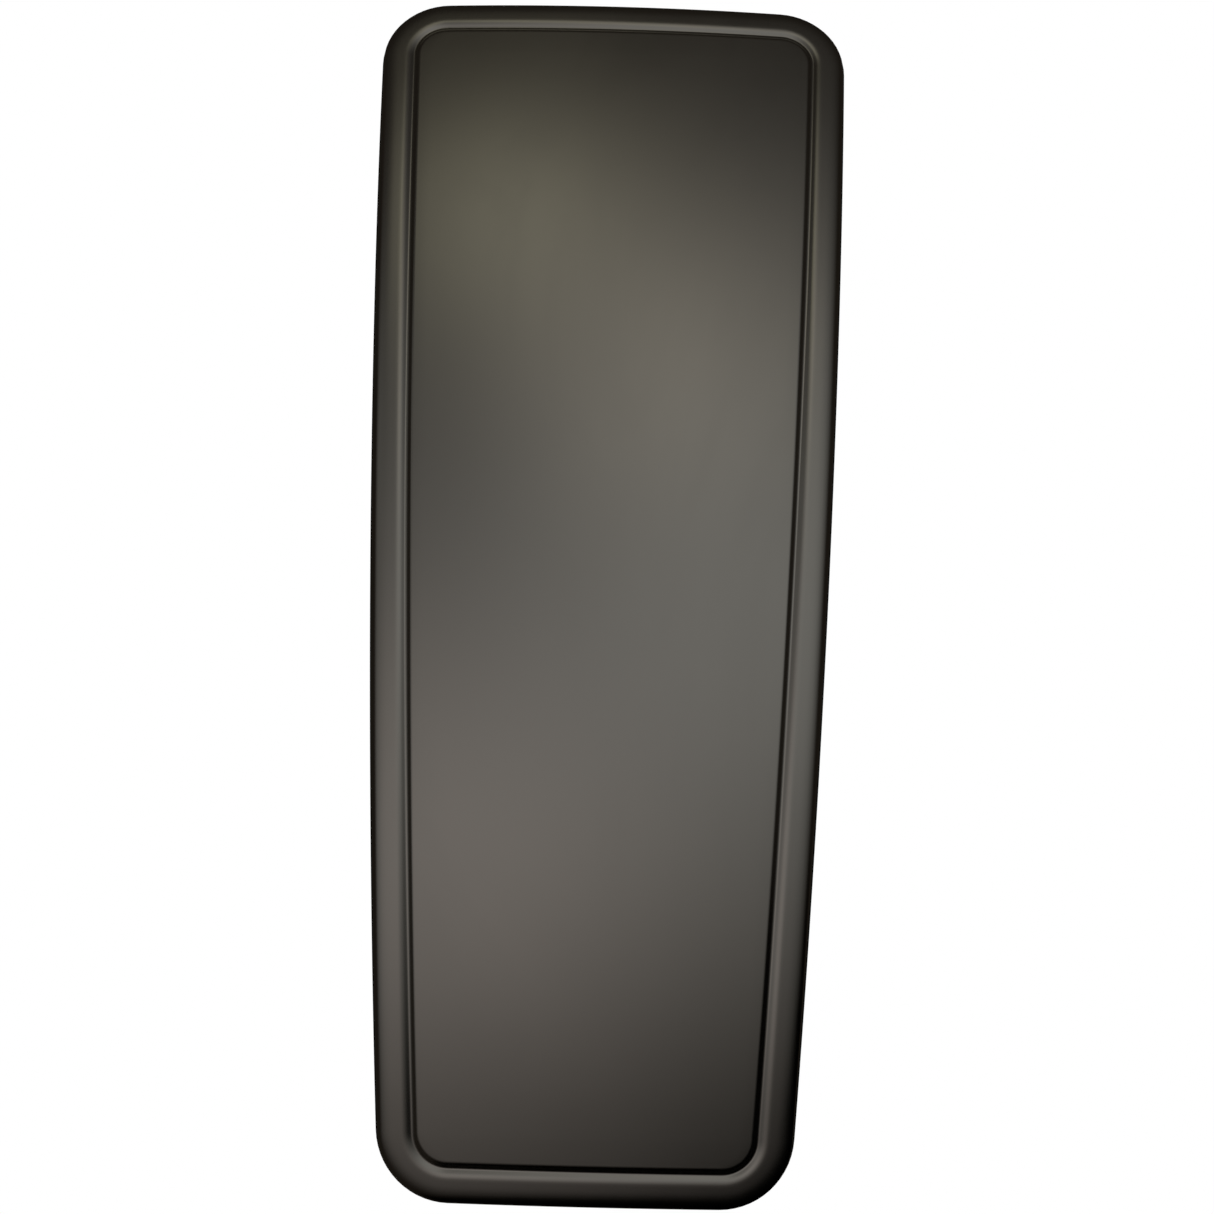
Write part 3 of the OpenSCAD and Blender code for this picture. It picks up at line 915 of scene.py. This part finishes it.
def grid_lines(marks, reach, step):
    """Lines from -reach to reach through the marks on both sides, no wider apart than a step."""
    stops = sorted({-reach, reach, *marks, *(-mark for mark in marks)})
    lines = []
    for low, high in zip(stops, stops[1:]):
        parts = math.ceil((high - low) / step)
        lines += [low + (high - low) * i / parts for i in range(parts)]
    return lines + [reach]


def edge_marks(edges):
    """Close lines where a rib or the pad ends, for its rounded edges."""
    return [edge + d for edge in edges for d in (-1.3, -0.65, 0, 0.65, 1.3)]


def pan_lines():
    """The grid's heights, downwards, and the columns of its middle."""
    rungs = [rung + side * RIB_HALF for rung in RUNGS for side in (-1, 1)]
    heights = edge_marks(rungs + [RIB_REACH, PAD_HALF_Z])
    columns = edge_marks([BAR_X - RIB_HALF, BAR_X + RIB_HALF])
    for i in range(2, PAD_CORNER + 1):
        heights.append(PAD_HALF_Z - i)
        columns.append(PAD_HALF_X - i)
    return grid_lines(heights, 246, 6)[::-1], grid_lines(columns, 56, 6)


PAN_LEVELS, PAN_COLUMNS = pan_lines()


def pan_columns(reach, outer_steps=5):
    """The middle's columns, drawn in where the pan is narrow, and more out to its reach."""
    share = min(1.0, reach * 0.88 / PAN_COLUMNS[-1])
    core = [x * share for x in PAN_COLUMNS]
    edge = core[-1]
    outer = [edge + (reach - edge) * i / outer_steps for i in range(1, outer_steps + 1)]
    return [-x for x in reversed(outer)] + core + outer


def pan_radius(inset):
    """The pan's corner radius: the outline's at its edge and the tray's own at the tray."""
    tray = TRAY_INSET + TRAY_CORNER
    if inset >= TRAY_INSET - 3:
        return tray - inset
    share = (inset - SHEET) / (TRAY_INSET - 3 - SHEET)
    return (CORNER_RADIUS - SHEET) * (1 - share) + (TRAY_CORNER + 3) * share


def inside(distance, width=1.0):
    """1 inside an edge and 0 outside it, with a rounded step between."""
    t = min(1.0, max(0.0, 0.5 - distance / (2 * width)))
    return t * t * (3 - 2 * t)


def rib_share(x, z):
    bars = max(abs(abs(x) - BAR_X) - RIB_HALF, abs(z) - RIB_REACH)
    rungs = max(min(abs(abs(z) - rung) for rung in RUNGS) - RIB_HALF, abs(x) - BAR_X)
    under_pad = max(abs(x) - BAR_X - RIB_HALF, abs(z) - PAD_HALF_Z)
    return inside(min(bars, rungs, under_pad))


def pad_share(x, z):
    dx = max(abs(x) - PAD_HALF_X + PAD_CORNER, 0)
    dz = max(abs(z) - PAD_HALF_Z + PAD_CORNER, 0)
    return inside(math.hypot(dx, dz) - PAD_CORNER)


def pan_back(x, z):
    """The tray's outside, with its ribs and the flat pad for the yoke."""
    y = on_dome(x, z, TRAY_DEPTH + RIB_HEIGHT * rib_share(x, z))[1]
    return x, y + (PAD_Y - y) * pad_share(x, z), z


def pan_front(x, z):
    y = on_dome(x, z, TRAY_DEPTH - TRAY_WALL)[1]
    return x, y + (PAD_FRONT_Y - y) * pad_share(x, z), z


def pan_ring(inset, depth):
    return head_ring(inset, depth, pan_radius(inset), PAN_LEVELS, pan_columns)


def make_back_pan():
    """A moulded tray with a flange that the skirt goes round, closed as one shell."""
    edge = SHEET + 0.2
    flange = [8, 15, 22]
    outside = (
        [(edge, 11), (edge, 12.5), (edge + 0.15, 12.85), (edge + 0.5, SKIRT_DEPTH)]
        + [(inset, SKIRT_DEPTH) for inset in flange]
        + bend((TRAY_INSET - 2.5, SKIRT_DEPTH + 2.5), 2.5, -90, 0, 6)
        + bend((TRAY_INSET + 3.6, TRAY_DEPTH - 3.2), 3.2, 180, 90, 8)
        + [(TRAY_INSET + 6, TRAY_DEPTH)]
    )
    within = (
        [(edge, 11), (edge + 0.15, FLANGE_FRONT + 0.15), (edge + 0.5, FLANGE_FRONT)]
        + [(inset, FLANGE_FRONT) for inset in flange + [29, 33.6]]
        + [(34.3, FLANGE_FRONT + 0.5), (34.6, 12), (34.9, 18.5), (35.6, 20.6), (36.8, 21.4)]
        + [(38.5, TRAY_DEPTH - TRAY_WALL)]
    )
    shape = joined(
        strips([pan_ring(*place) for place in outside]),
        head_fill(outside[-1][0], pan_back, pan_radius(outside[-1][0]), PAN_LEVELS, pan_columns),
        strips([pan_ring(*place) for place in within]),
        head_fill(within[-1][0], pan_front, pan_radius(within[-1][0]), PAN_LEVELS, pan_columns),
    )
    new_piece("moulded_back_pan", shape, PAN_PLASTIC, "head", ["back_pan"])


make_back_pan()


SCREW_INSET = 24
SCREW_LEVELS = (-228, -76, 76, 228)
END_SCREW_X = 42


def head_screw_places():
    sides = [(side * side_x(SCREW_INSET, z), z) for z in SCREW_LEVELS for side in (-1, 1)]
    end_z = HALF_HEIGHT - SCREW_INSET
    ends = [(side * END_SCREW_X, end * end_z) for end in (-1, 1) for side in (-1, 1)]
    return sides + ends


def square_to_dome(x, z, depth):
    """A point at a depth below a place on the dome, and the direction into the head there."""
    surface = Vector(on_dome(x, z, 0))
    inwards = (Vector((0, DOME_CENTRE_Y, 0)) - surface).normalized()
    return surface + inwards * depth, inwards


def make_pan_fixings():
    """Twelve screws through the flange, and the turned standoffs that they go into."""
    places = [square_to_dome(x, z, SKIRT_DEPTH) for x, z in head_screw_places()]
    fixings("pan_head_screws", pan_head_screw(), places, ZINC, "head", ["pan_screws"])
    places = [square_to_dome(x, z, SHEET) for x, z in head_screw_places()]
    height = FLANGE_FRONT - SHEET
    post = [(0, 0), (3.3, 0), (3.5, 0.2), (3.5, height - 0.3), (3.2, height)]
    post += [(2.35, height), (2.05, height - 0.3), (2.05, 1.4), (0, 1)]
    template = new_mesh("standoff", turned_shape(post, 40))
    fixings("turned_standoffs", template, places, ALUMINIUM, "head", ["standoffs"])


make_pan_fixings()


def rounded_block(centre, size, rounding, steps=10):
    """A block whose six sides are grids, with every edge and corner rounded."""
    half = Vector(size) / 2
    core = half - Vector((rounding,) * 3)
    parts = []
    for axis in range(3):
        for side in (-1, 1):
            rows = []
            for i in range(steps + 1):
                row = []
                for j in range(steps + 1):
                    flat = Vector((0, 0, 0))
                    flat[axis] = side * half[axis]
                    for other, k in (((axis + 1) % 3, i), ((axis + 2) % 3, j)):
                        flat[other] = half[other] * math.sin(math.pi / 2 * (2 * k / steps - 1))
                    kept = Vector(max(-c, min(c, f)) for f, c in zip(flat, core))
                    row.append(tuple(Vector(centre) + kept + (flat - kept).normalized() * rounding))
                rows.append(row)
            parts.append(strips(rows, closed=False))
    return joined(*parts)


FOAM_WIDTH = 34
FOAM_LENGTH = 80
FOAM_PLACES = ((-52, 160), (52, 160), (-40, -160), (40, -160))


def make_foam_pads():
    """Four foam blocks held between the sheet and the tray, curved with them."""
    front, back = SHEET + 0.1, TRAY_DEPTH - TRAY_WALL - 0.1
    size = (FOAM_WIDTH, back - front, FOAM_LENGTH)
    blocks = []
    for x, z in FOAM_PLACES:
        points, faces = rounded_block((x, (front + back) / 2, z), size, 3, steps=16)
        blocks.append(([on_dome(px, pz, depth) for px, depth, pz in points], faces))
    pads = new_piece("foam_blocks", joined(*blocks), FOAM, "head", ["foam_pads"])


make_foam_pads()


# ---------------------------------------------------------------- the yoke and its bolts
YOKE_BOLTS = [(x, z) for x in (-26, 26) for z in (-34, 34)]
YOKE_HOLES = [circle(M6_RADIUS + 0.3, x, z) for x, z in YOKE_BOLTS]
YOKE_OUTLINE = rounded_rectangle(76, 96, 8)
EAR_X = 19.8
YOKE_EAR_BASE = 26


def make_yoke():
    front = PAD_Y + PLATE
    base = YOKE_EAR_BASE
    outline = bend((TILT_Y, 0), EAR_RADIUS, -90, 90, 28)
    outline += [(front, base), (PAD_Y + 1, base), (PAD_Y + 1, -base), (front, -base)]
    hole = circle(PIVOT_RADIUS + 0.06, TILT_Y)
    parts = [flat_plate(YOKE_OUTLINE, YOKE_HOLES, PAD_Y, front, "xzy", 0.7)]
    for x in (-EAR_X - EAR, EAR_X):
        parts.append(flat_plate(outline, [hole], x, x + EAR, "yzx", 0.7))
    new_piece("yoke_plates", joined(*parts), PAINT, "head", ["yoke"])
    reach = base - 1.2
    seams = [[(side * x, front + 0.2, -reach), (side * x, front + 0.2, reach)]
             for side in (-1, 1) for x in (EAR_X - 0.3, EAR_X + EAR + 0.3)]
    welds("yoke_welds", seams, "head")


make_yoke()


def make_yoke_fixings():
    bolts = [((x, span("yoke_washers", "y")[1], z), (0, 1, 0)) for x, z in YOKE_BOLTS]
    washers = [((x, PAD_Y + PLATE, z), (0, 1, 0)) for x, z in YOKE_BOLTS]
    nuts = [((x, span("backing_plate", "y")[0], z), (0, -1, 0)) for x, z in YOKE_BOLTS]
    bolt = new_mesh("m6_bolt", bolt_shape(M6_RADIUS, M6_FLATS, 4, 21.6, 9), sharp=28)
    washer = new_mesh("m6_washer", tube(6, M6_RADIUS + 0.2, 1.6, 0.2, 48))
    nut = new_mesh("m6_nut", hexagon_shape(M6_FLATS, 5, bore=M6_RADIUS + 0.05), sharp=28)
    fixings("yoke_hex_bolts", bolt, bolts, ZINC, "head", ["yoke_bolts"])
    fixings("yoke_flat_washers", washer, washers, ZINC, "head", ["yoke_washers"])
    fixings("pan_plate_nuts", nut, nuts, ZINC, "head", ["plate_nuts"])
    low, high = span("backing_plate", "y")
    plate = flat_plate(YOKE_OUTLINE, YOKE_HOLES, low, high, "xzy", 0.3)
    new_piece("inner_plate", plate, ZINC, "head", ["backing_plate"])


make_yoke_fixings()


# ---------------------------------------------------------------- the tilt pivot and its knob
def make_tilt_fixings():
    start, end = span("tilt_nut", "x")
    nut = placed(hexagon_shape(M8_FLATS, end - start, bore=PIVOT_RADIUS + 0.06), along("+x", start, TILT_Y))
    new_piece("tilt_hex_nut", nut, ZINC, "head", ["tilt_nut"], sharp=28)
    start, end = span("tilt_washer", "x")
    washer = placed(tube(8, PIVOT_RADIUS + 0.1, end - start, 0.25), along("+x", start, TILT_Y))
    new_piece("tilt_flat_washer", washer, ZINC, "head", ["tilt_washer"])
    start, end = span("tilt_stud", "x")
    threaded = 13
    plain = end - start - threaded
    rod = turned_shape([(0, 0), (PIVOT_RADIUS, 0), (PIVOT_RADIUS, plain), (0, plain)])
    stud = joined(
        placed(rod, along("+x", start + threaded, TILT_Y)),
        placed(thread_shape(PIVOT_RADIUS, threaded), along("-x", start + threaded, TILT_Y)),
    )
    new_piece("threaded_stud", stud, ZINC, "knob", ["tilt_stud"])


make_tilt_fixings()


def lobed_radius(angle, outer=19.0, lobes=5, scallop=7.0, scallop_at=22.0, blend=1.6):
    """The knob's outline: a circle with scallops cut into it, blended at their edges."""
    part = 2 * math.pi / lobes
    turned = (angle + part / 2) % part - part / 2
    across = scallop_at * math.sin(turned)
    if abs(across) >= scallop:
        return outer
    cut = scallop_at * math.cos(turned) - math.sqrt(scallop ** 2 - across ** 2)
    share = min(1.0, max(0.0, 0.5 + (cut - outer) / (2 * blend)))
    return cut * (1 - share) + outer * share - blend * share * (1 - share)


def make_knob(steps=160):
    """A five-lobed hand knob on a short hub, hollow for its stud and dished for its cap."""
    start, end = span("tilt_knob", "x")
    height = end - start
    angles = [2 * math.pi * i / steps for i in range(steps)]

    def hub(radius, z):
        return level_ring(radius, z, steps)

    def lobes(inset, z, share=1.0, plain=0.0):
        reach = [(lobed_radius(a) - inset) * share + plain * (1 - share) for a in angles]
        return [(r * math.cos(a), r * math.sin(a), z) for a, r in zip(angles, reach)]

    foot = [hub(PIVOT_RADIUS, height - 4), hub(PIVOT_RADIUS, 0.4), hub(PIVOT_RADIUS + 0.4, 0), hub(9.4, 0)]
    foot += [hub(9.85, 0.15), hub(10, 0.6), hub(10, 3.2), hub(10.3, 3.8), lobes(3.2, 4, 0.45, 10)]
    side = [lobes(r, z) for r, z in bend((1.4, 5.4), 1.4, 270, 180, 6)]
    top = [lobes(r, z) for r, z in bend((2.6, height - 2.4), 2.4, 180, 90, 8)]
    dish = [lobes(3.6, height - 0.12), lobes(4, height - 0.35, 0.5, 9), hub(9.2, height - 0.35)]
    dish += [hub(8.35, height - 0.12), hub(8.05, height - 0.4), hub(8.05, height - 1.5)]
    rings = foot + side + top + dish
    points, faces = strips(rings)
    faces.append(tuple(range(steps)))
    faces.append(tuple(range(len(points) - steps, len(points))))
    knob = placed((points, faces), along("+x", start, TILT_Y))
    new_piece("lobed_hand_knob", knob, KNOB_BLACK, "knob", ["tilt_knob"])
    low, high = span("knob_cap", "x")
    rise = high - low
    section = [(0, 0), (7.7, 0), (7.95, 0.25), (7.95, rise - 0.6), (7.6, rise - 0.2), (7.0, rise - 0.1)]
    section += [(6.4, rise - 0.3), (6.1, rise - 0.3), (5.6, rise - 0.1), (3, rise - 0.02), (0, rise)]
    cap = placed(turned_shape(section), along("+x", low, TILT_Y))
    new_piece("knob_end_cap", cap, CAP_GREY, "knob", ["knob_cap"])


make_knob()


# ---------------------------------------------------------------- the arm
BARREL_RADIUS = 11
ARM_RADIUS = 10
ARM_BORE = 8
BARREL_BORE = 6
PAN_HALF = span("pan_barrel", "z")[1]
TILT_HALF = span("tilt_barrel", "x")[1]


def arm_loop(radius, barrel, at_tilt, steps=72):
    """Where a tube of a radius meets the barrel at its tilt end or its pan end."""
    loop = []
    for i in range(steps + 1):
        a = 2 * math.pi * i / steps
        x, z = radius * math.cos(a), radius * math.sin(a)
        reach = math.sqrt(barrel ** 2 - (z if at_tilt else x) ** 2)
        loop.append((x, TILT_Y + reach if at_tilt else PAN_Y - reach, z))
    return loop


def make_arm():
    rings = []
    for radius, order in ((ARM_RADIUS, 1), (ARM_BORE, -1)):
        start = arm_loop(radius, BARREL_RADIUS, True)[:-1]
        end = arm_loop(radius, BARREL_RADIUS, False)[:-1]
        wall = [[tuple(Vector(a).lerp(Vector(b), k / 16)) for a, b in zip(start, end)] for k in range(17)]
        rings += wall[::order]
    new_piece("arm_tube_wall", strips(rings + [rings[0]]), PAINT, "arm", ["arm_tube"])
    seams = [arm_loop(ARM_RADIUS + 0.3, BARREL_RADIUS + 0.2, at_tilt) for at_tilt in (True, False)]
    welds("arm_welds", seams, "arm", radius=1.7)
    barrel = placed(tube(BARREL_RADIUS, BARREL_BORE, 2 * TILT_HALF, 0.8), along("+x", -TILT_HALF, TILT_Y))
    new_piece("tilt_barrel_tube", barrel, PAINT, "arm", ["tilt_barrel"])
    barrel = placed(tube(BARREL_RADIUS, BARREL_BORE, 2 * PAN_HALF, 0.8), along("+z", 0, PAN_Y, -PAN_HALF))
    new_piece("pan_barrel_tube", barrel, PAINT, "arm", ["pan_barrel"])


make_arm()


def make_bushes(flange=9.5, flange_t=1.5, sleeve=BARREL_BORE, length=13.5):
    """Flanged nylon bushes in both ends of each barrel."""
    bore = PIVOT_RADIUS + 0.06
    section = [(bore + 0.4, 0), (flange - 0.4, 0)] + bend((flange - 0.4, -0.4), 0.4, 90, 0, 4)
    section += bend((flange - 0.4, -flange_t + 0.4), 0.4, 0, -90, 4)
    section += [(sleeve, -flange_t), (sleeve, -length + 0.5), (sleeve - 0.4, -length), (bore, -length)]
    section += [(bore, -0.4), (bore + 0.4, 0)]
    bush = new_mesh("flanged_bush", turned_shape(section, 64))
    tilt = [((side * (TILT_HALF + flange_t), TILT_Y, 0), (side, 0, 0)) for side in (-1, 1)]
    pan = [((0, PAN_Y, side * (PAN_HALF + flange_t)), (0, 0, side)) for side in (-1, 1)]
    fixings("tilt_flanged_bushes", bush, tilt, NYLON, "arm", ["tilt_bushes"])
    bush = new_mesh("flanged_bush", turned_shape(section, 64))
    fixings("pan_flanged_bushes", bush, pan, NYLON, "arm", ["pan_bushes"])


make_bushes()


# ---------------------------------------------------------------- the wall plate and the pan pivot
PAN_EAR_Z = 21.8
WALL_EAR_BASE = 22
GUSSET_REACH = 16
GUSSET_HEIGHT = 26
WALL_HOLES = [(x, z) for x in (-27, 27) for z in (-54, 54)]


def make_wall_plate():
    holes = [circle(3.5, x, z) for x, z in WALL_HOLES]
    parts = [flat_plate(rounded_rectangle(80, 140, 8), holes, -PLATE, 0, "xzy", 0.7)]
    base = WALL_EAR_BASE
    outline = bend((0, PAN_Y), EAR_RADIUS, 180, 360, 28)
    outline += [(base, -PLATE), (base, -1), (-base, -1), (-base, -PLATE)]
    hole = circle(PIVOT_RADIUS + 0.06, 0, PAN_Y)
    seams = []
    for side in (-1, 1):
        low, high = sorted((side * PAN_EAR_Z, side * (PAN_EAR_Z + EAR)))
        parts.append(flat_plate(outline, [hole], low, high, "xyz", 0.7))
        inner, outer = PAN_EAR_Z + 1, PAN_EAR_Z + EAR
        tip = side * (outer + GUSSET_HEIGHT)
        gusset = [(-1, side * inner), (-GUSSET_REACH, side * inner), (-GUSSET_REACH, side * (outer + 1))]
        gusset += [(-PLATE, tip), (-1, tip)]
        parts.append(flat_plate(gusset, [], -2, 2, "yzx", 0.5))
        reach = base - 1.2
        front = -PLATE - 0.2
        seams.append([(-reach, front, side * (PAN_EAR_Z - 0.3)), (reach, front, side * (PAN_EAR_Z - 0.3))])
        for x in (-1, 1):
            seams.append([(x * 3, front, side * (outer + 0.3)), (x * reach, front, side * (outer + 0.3))])
            seams.append([(x * 2.3, front, side * (outer + 1.5)), (x * 2.3, front, side * (outer + 24))])
            seams.append([(x * 2.3, -6, side * (outer + 0.3)), (x * 2.3, -15, side * (outer + 0.3))])
    new_piece("wall_bracket_plates", joined(*parts), PAINT, "wall_bracket", ["wall_plate"])
    welds("wall_welds", seams, "wall_bracket", radius=1.4)


make_wall_plate()


def make_pan_fixings_on_wall():
    seat = span("pan_washers", "z")[1]
    low = span("pan_bolt", "z")[0]
    bolt = placed(bolt_shape(PIVOT_RADIUS, M8_FLATS, 5.3, seat - low, 14), along("+z", 0, PAN_Y, seat))
    new_piece("pan_hex_bolt", bolt, ZINC, "wall_bracket", ["pan_bolt"], sharp=28)
    start, end = span("pan_nut", "z")
    nut = placed(hexagon_shape(M8_FLATS, end - start, bore=PIVOT_RADIUS + 0.06), along("+z", 0, PAN_Y, start))
    new_piece("pan_hex_nut", nut, ZINC, "wall_bracket", ["pan_nut"], sharp=28)
    washer = new_mesh("m8_washer", tube(8, PIVOT_RADIUS + 0.1, 1.6, 0.25))
    places = [((0, PAN_Y, side * (PAN_EAR_Z + EAR)), (0, 0, side)) for side in (-1, 1)]
    fixings("pan_flat_washers", washer, places, ZINC, "wall_bracket", ["pan_washers"])


make_pan_fixings_on_wall()


# ---------------------------------------------------------------- light and floor
def make_floor(drop=90, size=6):
    low = cad_box[0].z - drop * MM
    points = [(x * size / 2, y * size / 2, low) for x, y in ((-1, -1), (1, -1), (1, 1), (-1, 1))]
    mesh = bpy.data.meshes.new("floor")
    mesh.from_pydata(points, [], [(0, 1, 2, 3)])
    material = bpy.data.materials.new("floor_white")
    material.use_nodes = True
    tree = material.node_tree
    tree.nodes.clear()
    glow = add(tree, "ShaderNodeEmission", Color=(1, 1, 1, 1))
    add(tree, "ShaderNodeOutputMaterial", Surface=glow.outputs[0])
    mesh.materials.append(material)
    floor = shown("floor", mesh)
    floor.visible_glossy = False
    floor.visible_diffuse = False
    floor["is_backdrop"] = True


make_floor()

# Soft lamps: azimuth from the face's front towards +X, elevation, spread in degrees, colour
LAMPS = [
    (-15, -14.3, 14.7, (0.352, 0.322, 0.315)),
    (14.5, 9.5, 19.5, (0.36, 0.361, 0.358)),
    (4, 29.3, 8, (0.275, 0.25, 0.21)),
    (-11.5, 40.8, 6, (0.385, 0.37, 0.285)),
    (-42, -13, 12, (0.17, 0.17, 0.17)),
    (-40, 18, 11, (0.13, 0.13, 0.125)),
]
AMBIENT = (0.022, 0.018, 0.014)
# The dark floor below the lamps: how it slopes to the right, and where it starts and ends
FLOOR_SLOPE = -0.56
FLOOR_DARK = -0.77
FLOOR_LIT = -0.67

# Softboxes for the parts behind the face: place, width and power in watts
SOFTBOXES = {
    "rear_left_softbox": ((-1300, 1500, 900), 1100, 42),
    "rear_right_softbox": ((1600, 1000, 500), 900, 34),
    "overhead_softbox": ((200, 200, 1900), 1300, 26),
    "low_rear_fill": ((300, 1300, -1300), 1400, 9),
}


def make_softboxes():
    """Area lamps that light every piece but the face."""
    lit = bpy.data.collections.new("lit_by_softboxes")
    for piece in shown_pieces():
        if piece.name != "face_skin":
            lit.objects.link(piece)
    for name, (place, width, power) in SOFTBOXES.items():
        data = bpy.data.lights.new(name, "AREA")
        data.shape = "DISK"
        data.size = width * MM
        data.energy = power
        lamp = bpy.data.objects.new(name, data)
        bpy.context.scene.collection.objects.link(lamp)
        place = Vector(place) * MM
        aim = Vector((0, PAD_Y, 0)) * MM
        turned = (aim - place).to_track_quat("-Z", "Y").to_matrix().to_4x4()
        lamp.matrix_world = Matrix.Translation(place) @ turned
        lamp.light_linking.receiver_collection = lit


make_softboxes()


def make_world():
    """White to the camera, and soft lamps on a dim surround to everything else."""
    world = bpy.data.worlds.new("studio")
    bpy.context.scene.world = world
    world.use_nodes = True
    tree = world.node_tree
    tree.nodes.clear()
    direction = add(tree, "ShaderNodeTexCoord").outputs["Generated"]
    total = AMBIENT
    for azimuth, elevation, spread, colour in LAMPS:
        a, e = math.radians(azimuth), math.radians(elevation)
        aim = (math.sin(a) * math.cos(e), -math.cos(a) * math.cos(e), math.sin(e))
        facing = add(tree, "ShaderNodeVectorMath", {"operation": "DOT_PRODUCT"})
        tree.links.new(direction, facing.inputs[0])
        facing.inputs[1].default_value = aim
        near = calculate(tree, "MAXIMUM", facing.outputs["Value"], 0.0)
        glow = calculate(tree, "POWER", near, 1 / math.radians(spread) ** 2)
        lit = add(tree, "ShaderNodeVectorMath", {"operation": "MULTIPLY_ADD"})
        connect(tree, glow, lit.inputs[0])
        lit.inputs[1].default_value = colour
        connect(tree, total, lit.inputs[2])
        total = lit.outputs[0]
    parts = add(tree, "ShaderNodeSeparateXYZ", Vector=direction).outputs
    level = calculate(tree, "MULTIPLY_ADD", parts["X"], FLOOR_SLOPE, parts["Z"])
    above = remap(tree, level, FLOOR_DARK, FLOOR_LIT)
    lamps = add(tree, "ShaderNodeBackground", Color=total, Strength=above)
    backdrop = add(tree, "ShaderNodeBackground", Color=(1, 1, 1, 1))
    mix = tree.nodes.new("ShaderNodeMixShader")
    connect(tree, add(tree, "ShaderNodeLightPath").outputs["Is Camera Ray"], mix.inputs[0])
    connect(tree, lamps.outputs[0], mix.inputs[1])
    connect(tree, backdrop.outputs[0], mix.inputs[2])
    add(tree, "ShaderNodeOutputWorld", Surface=mix.outputs[0])
    bpy.context.scene.view_settings.view_transform = "Standard"


make_world()
